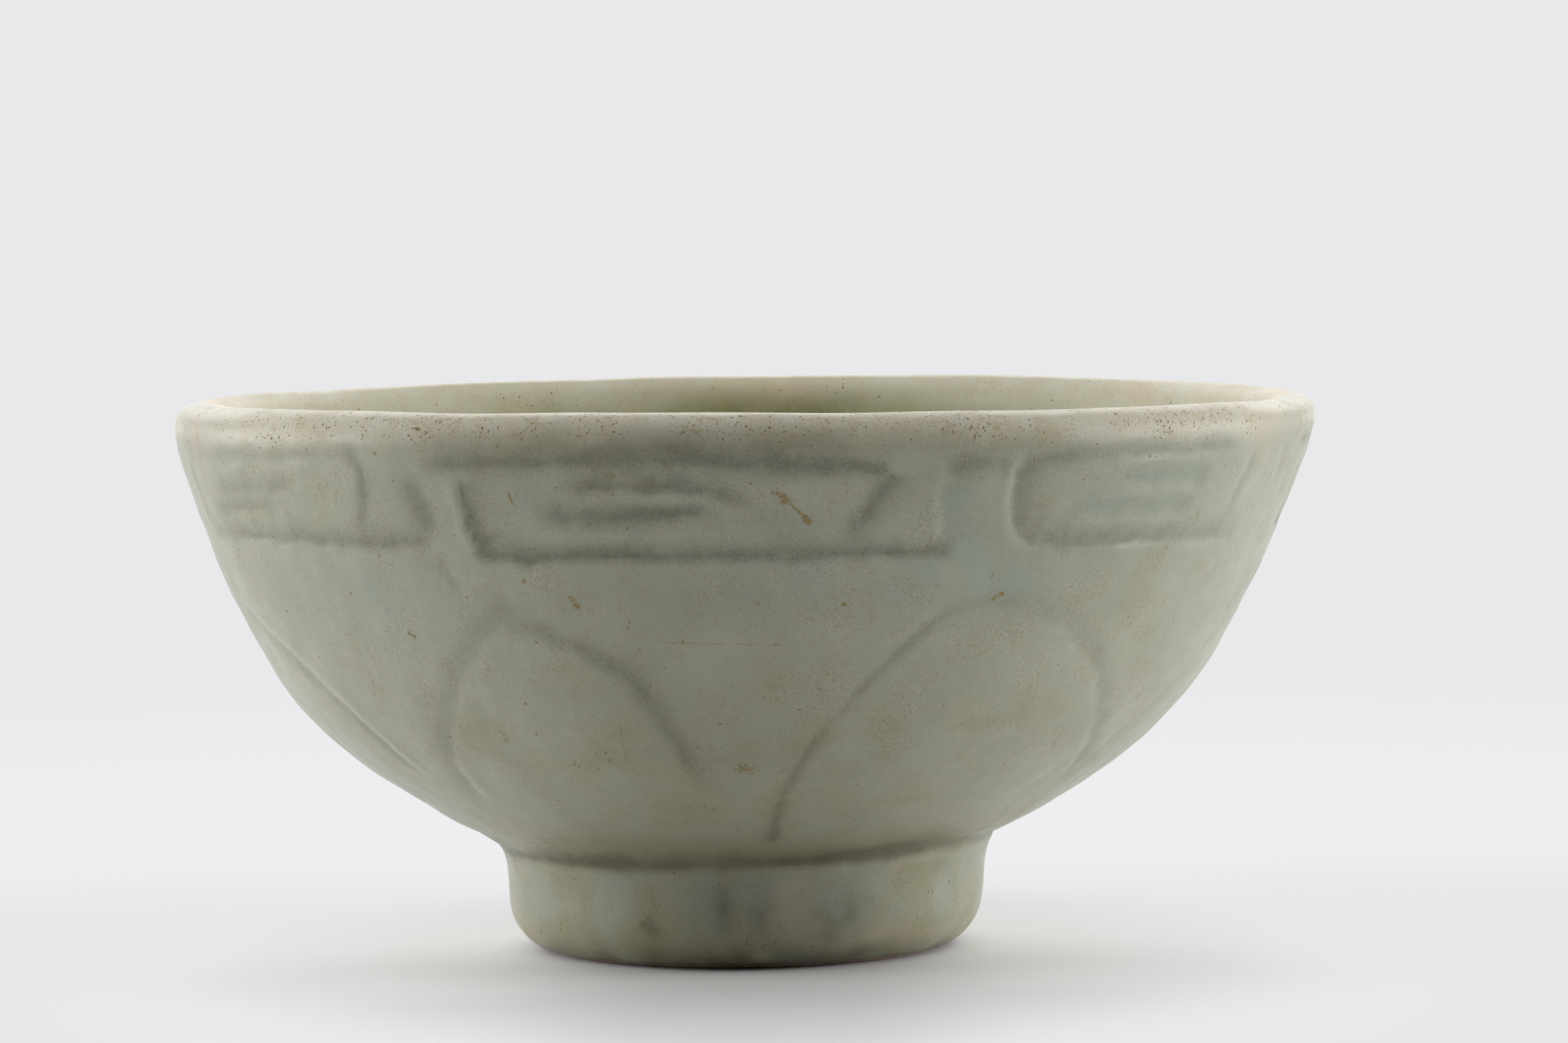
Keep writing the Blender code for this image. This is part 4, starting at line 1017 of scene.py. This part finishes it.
def studio():
    scene = bpy.context.scene
    scene.view_settings.view_transform = "Standard"
    scene.view_settings.look = "None"
    # a wide pale floor that runs out into the backdrop's tone, with painted shadow and painted light round the bowl
    n, rad = 96, 9.0
    radii = [0.0, 0.05, 0.12, 0.3, 0.7, 1.5, 3.0, rad]
    verts, faces = [(0.0, 0.0, 0.0)], []
    for r in radii[1:]:
        verts += [(r * math.cos(2 * math.pi * i / n), r * math.sin(2 * math.pi * i / n), 0.0) for i in range(n)]
    for i in range(n):
        faces.append((0, 1 + i, 1 + (i + 1) % n))
    for k in range(len(radii) - 2):
        a, b = 1 + k * n, 1 + (k + 1) * n
        faces += [(a + i, b + i, b + (i + 1) % n, a + (i + 1) % n) for i in range(n)]
    mesh = bpy.data.meshes.new("studio_floor")
    mesh.from_pydata(verts, [], faces)
    floor = bpy.data.objects.new("studio_floor", mesh)
    scene.collection.objects.link(floor)
    m = Nodes("studio_paper")
    # painted shadow and light on the floor: darker in the centre in front of the bowl and behind it, lighter beside
    # the foot
    from_axis = m.vmath("LENGTH", m.vmath("MULTIPLY", m.vmath("ADD", m.coord, (0.0, 0.036, 0.0)), (1.25, 1.0, 1.0)))
    across, ahead = m.split3(m.coord)[:2]
    aside = m.math("ABSOLUTE", across)
    near = m.mix(m.remap(aside, 0.010, 0.036), (0.72, 0.72, 0.735), (0.84, 0.84, 0.86))
    beside = m.mix(m.remap(aside, 0.036, 0.066), m.mix(m.remap(aside, 0.010, 0.036), (0.84, 0.84, 0.86), (0.98, 0.98, 1.0)), (0.80, 0.80, 0.82))
    rest = m.mix(m.remap(ahead, 0.055, -0.010), (0.62, 0.62, 0.635), beside)
    m.put(m.bsdf.inputs["Base Color"], m.mix(m.remap(ahead, -0.034, -0.062), rest, near))
    m.bsdf.inputs["Roughness"].default_value = 0.9
    m.bsdf.inputs["Specular IOR Level"].default_value = 0.1
    # painted light: from about 5 to 12 cm out the floor turns to a glow in the backdrop's tone, a little stronger
    # behind, lifting the shadow
    glow = m.node("ShaderNodeEmission")
    glow.inputs["Color"].default_value = (*PAPER, 1.0)
    lift = m.math("MULTIPLY", m.remap(ahead, 0.03, 0.11, -0.01, 0.055), m.remap(m.vmath("LENGTH", m.coord), 0.18, 0.50, 1.0, 0.0))
    m.put(glow.inputs["Strength"], m.math("ADD", lift, 1.0))
    away = m.remap(from_axis, 0.052, 0.118)
    blend = m.node("ShaderNodeMixShader")
    m.put(blend.inputs[0], away)
    m.put(blend.inputs[1], m.bsdf.outputs[0])
    m.put(blend.inputs[2], glow.outputs[0])
    m.put(m.t.nodes["Material Output"].inputs["Surface"], blend.outputs[0])
    mesh.materials.append(m.mat)

    world = bpy.data.worlds.new("studio_world")
    world.use_nodes = True
    scene.world = world
    t = world.node_tree
    bg = t.nodes["Background"]
    bg.inputs["Color"].default_value = (*PAPER, 1.0)
    bg.inputs["Strength"].default_value = 1.0
    # pale walls and ceiling all round, and a dark room on the camera's side
    dim = t.nodes.new("ShaderNodeBackground")
    dim.inputs["Color"].default_value = (1.0, 1.0, 1.0, 1.0)
    way = t.nodes.new("ShaderNodeTexCoord")
    xyz = t.nodes.new("ShaderNodeSeparateXYZ")
    t.links.new(way.outputs["Generated"], xyz.inputs[0])
    room = t.nodes.new("ShaderNodeMapRange")
    room.interpolation_type = "SMOOTHSTEP"
    for key, val in (("From Min", -0.85), ("From Max", 0.05), ("To Min", 0.01), ("To Max", 0.03)):
        room.inputs[key].default_value = val
    t.links.new(xyz.outputs[1], room.inputs["Value"])
    t.links.new(room.outputs["Result"], dim.inputs["Strength"])
    path = t.nodes.new("ShaderNodeLightPath")
    mix = t.nodes.new("ShaderNodeMixShader")
    t.links.new(path.outputs["Is Camera Ray"], mix.inputs[0])
    t.links.new(dim.outputs[0], mix.inputs[1])
    t.links.new(bg.outputs[0], mix.inputs[2])
    t.links.new(mix.outputs[0], t.nodes["World Output"].inputs["Surface"])

    def area(name, pos, target, size, power, colour=(1, 1, 1)):
        data = bpy.data.lights.new(name, "AREA")
        data.shape = "RECTANGLE"
        data.size, data.size_y = size
        data.energy = power
        data.color = colour
        ob = bpy.data.objects.new(name, data)
        ob.location = pos
        ob.rotation_mode = "QUATERNION"
        ob.rotation_quaternion = (Vector(target) - Vector(pos)).to_track_quat("-Z", "Y")
        ob.visible_camera = False
        scene.collection.objects.link(ob)

    area("backdrop_light", (0.0, 1.0, 0.30), (0, 0, 0.05), (2.0, 0.6), 5.0)
    area("back_high", (0.0, 1.3, 0.9), (0, 0, 0.05), (2.5, 0.8), 17.4)
    area("soft_left", (-1.1, 0.15, 0.75), (0, 0, 0.05), (1.2, 0.8), 6.85)
    area("soft_right", (1.1, 0.15, 0.75), (0, 0, 0.05), (1.2, 0.8), 5.6)
    area("low_left", (-0.55, 0.08, 0.09), (0, 0, 0.05), (0.4, 0.18), 1.70)
    area("low_right", (0.55, 0.03, 0.08), (0, 0, 0.05), (0.3, 0.16), 1.84)
    area("soft_top", (0.0, 0.0, 1.2), (0, 0, 0), (1.2, 1.0), 5.9)
    area("soft_top_front", (0.0, -0.6, 1.0), (0, 0, 0.05), (1.2, 0.7), 1.72)


def camera():
    """At the photograph's place: mm in the bowl's frame, angles in degrees."""
    height, back, pitch, roll, yaw, focal = 99.38, 771.6, 3.2207, -0.7360, 0.4176, 134.08
    p, r, y = (math.radians(a) for a in (pitch, roll, yaw))
    up = Vector((0, 0, 1))
    fwd, right = Vector((math.sin(y), math.cos(y), 0)), Vector((math.cos(y), -math.sin(y), 0))
    f2 = fwd * math.cos(p) - up * math.sin(p)
    u2 = up * math.cos(p) + fwd * math.sin(p)
    r3 = right * math.cos(r) + u2 * math.sin(r)
    u3 = u2 * math.cos(r) - right * math.sin(r)
    data = bpy.data.cameras.new("camera")
    data.lens, data.sensor_width, data.sensor_fit = focal, 36.0, "HORIZONTAL"
    data.clip_start, data.clip_end = 0.05, 60.0
    cam = bpy.data.objects.new("camera", data)
    bpy.context.scene.collection.objects.link(cam)
    rot = Matrix((r3, u3, -f2)).transposed().to_4x4()
    cam.matrix_world = Matrix.Translation((0.0, -back * MM, height * MM)) @ rot
    bpy.context.scene.camera = cam


studio()
camera()

bpy.context.view_layer.update()
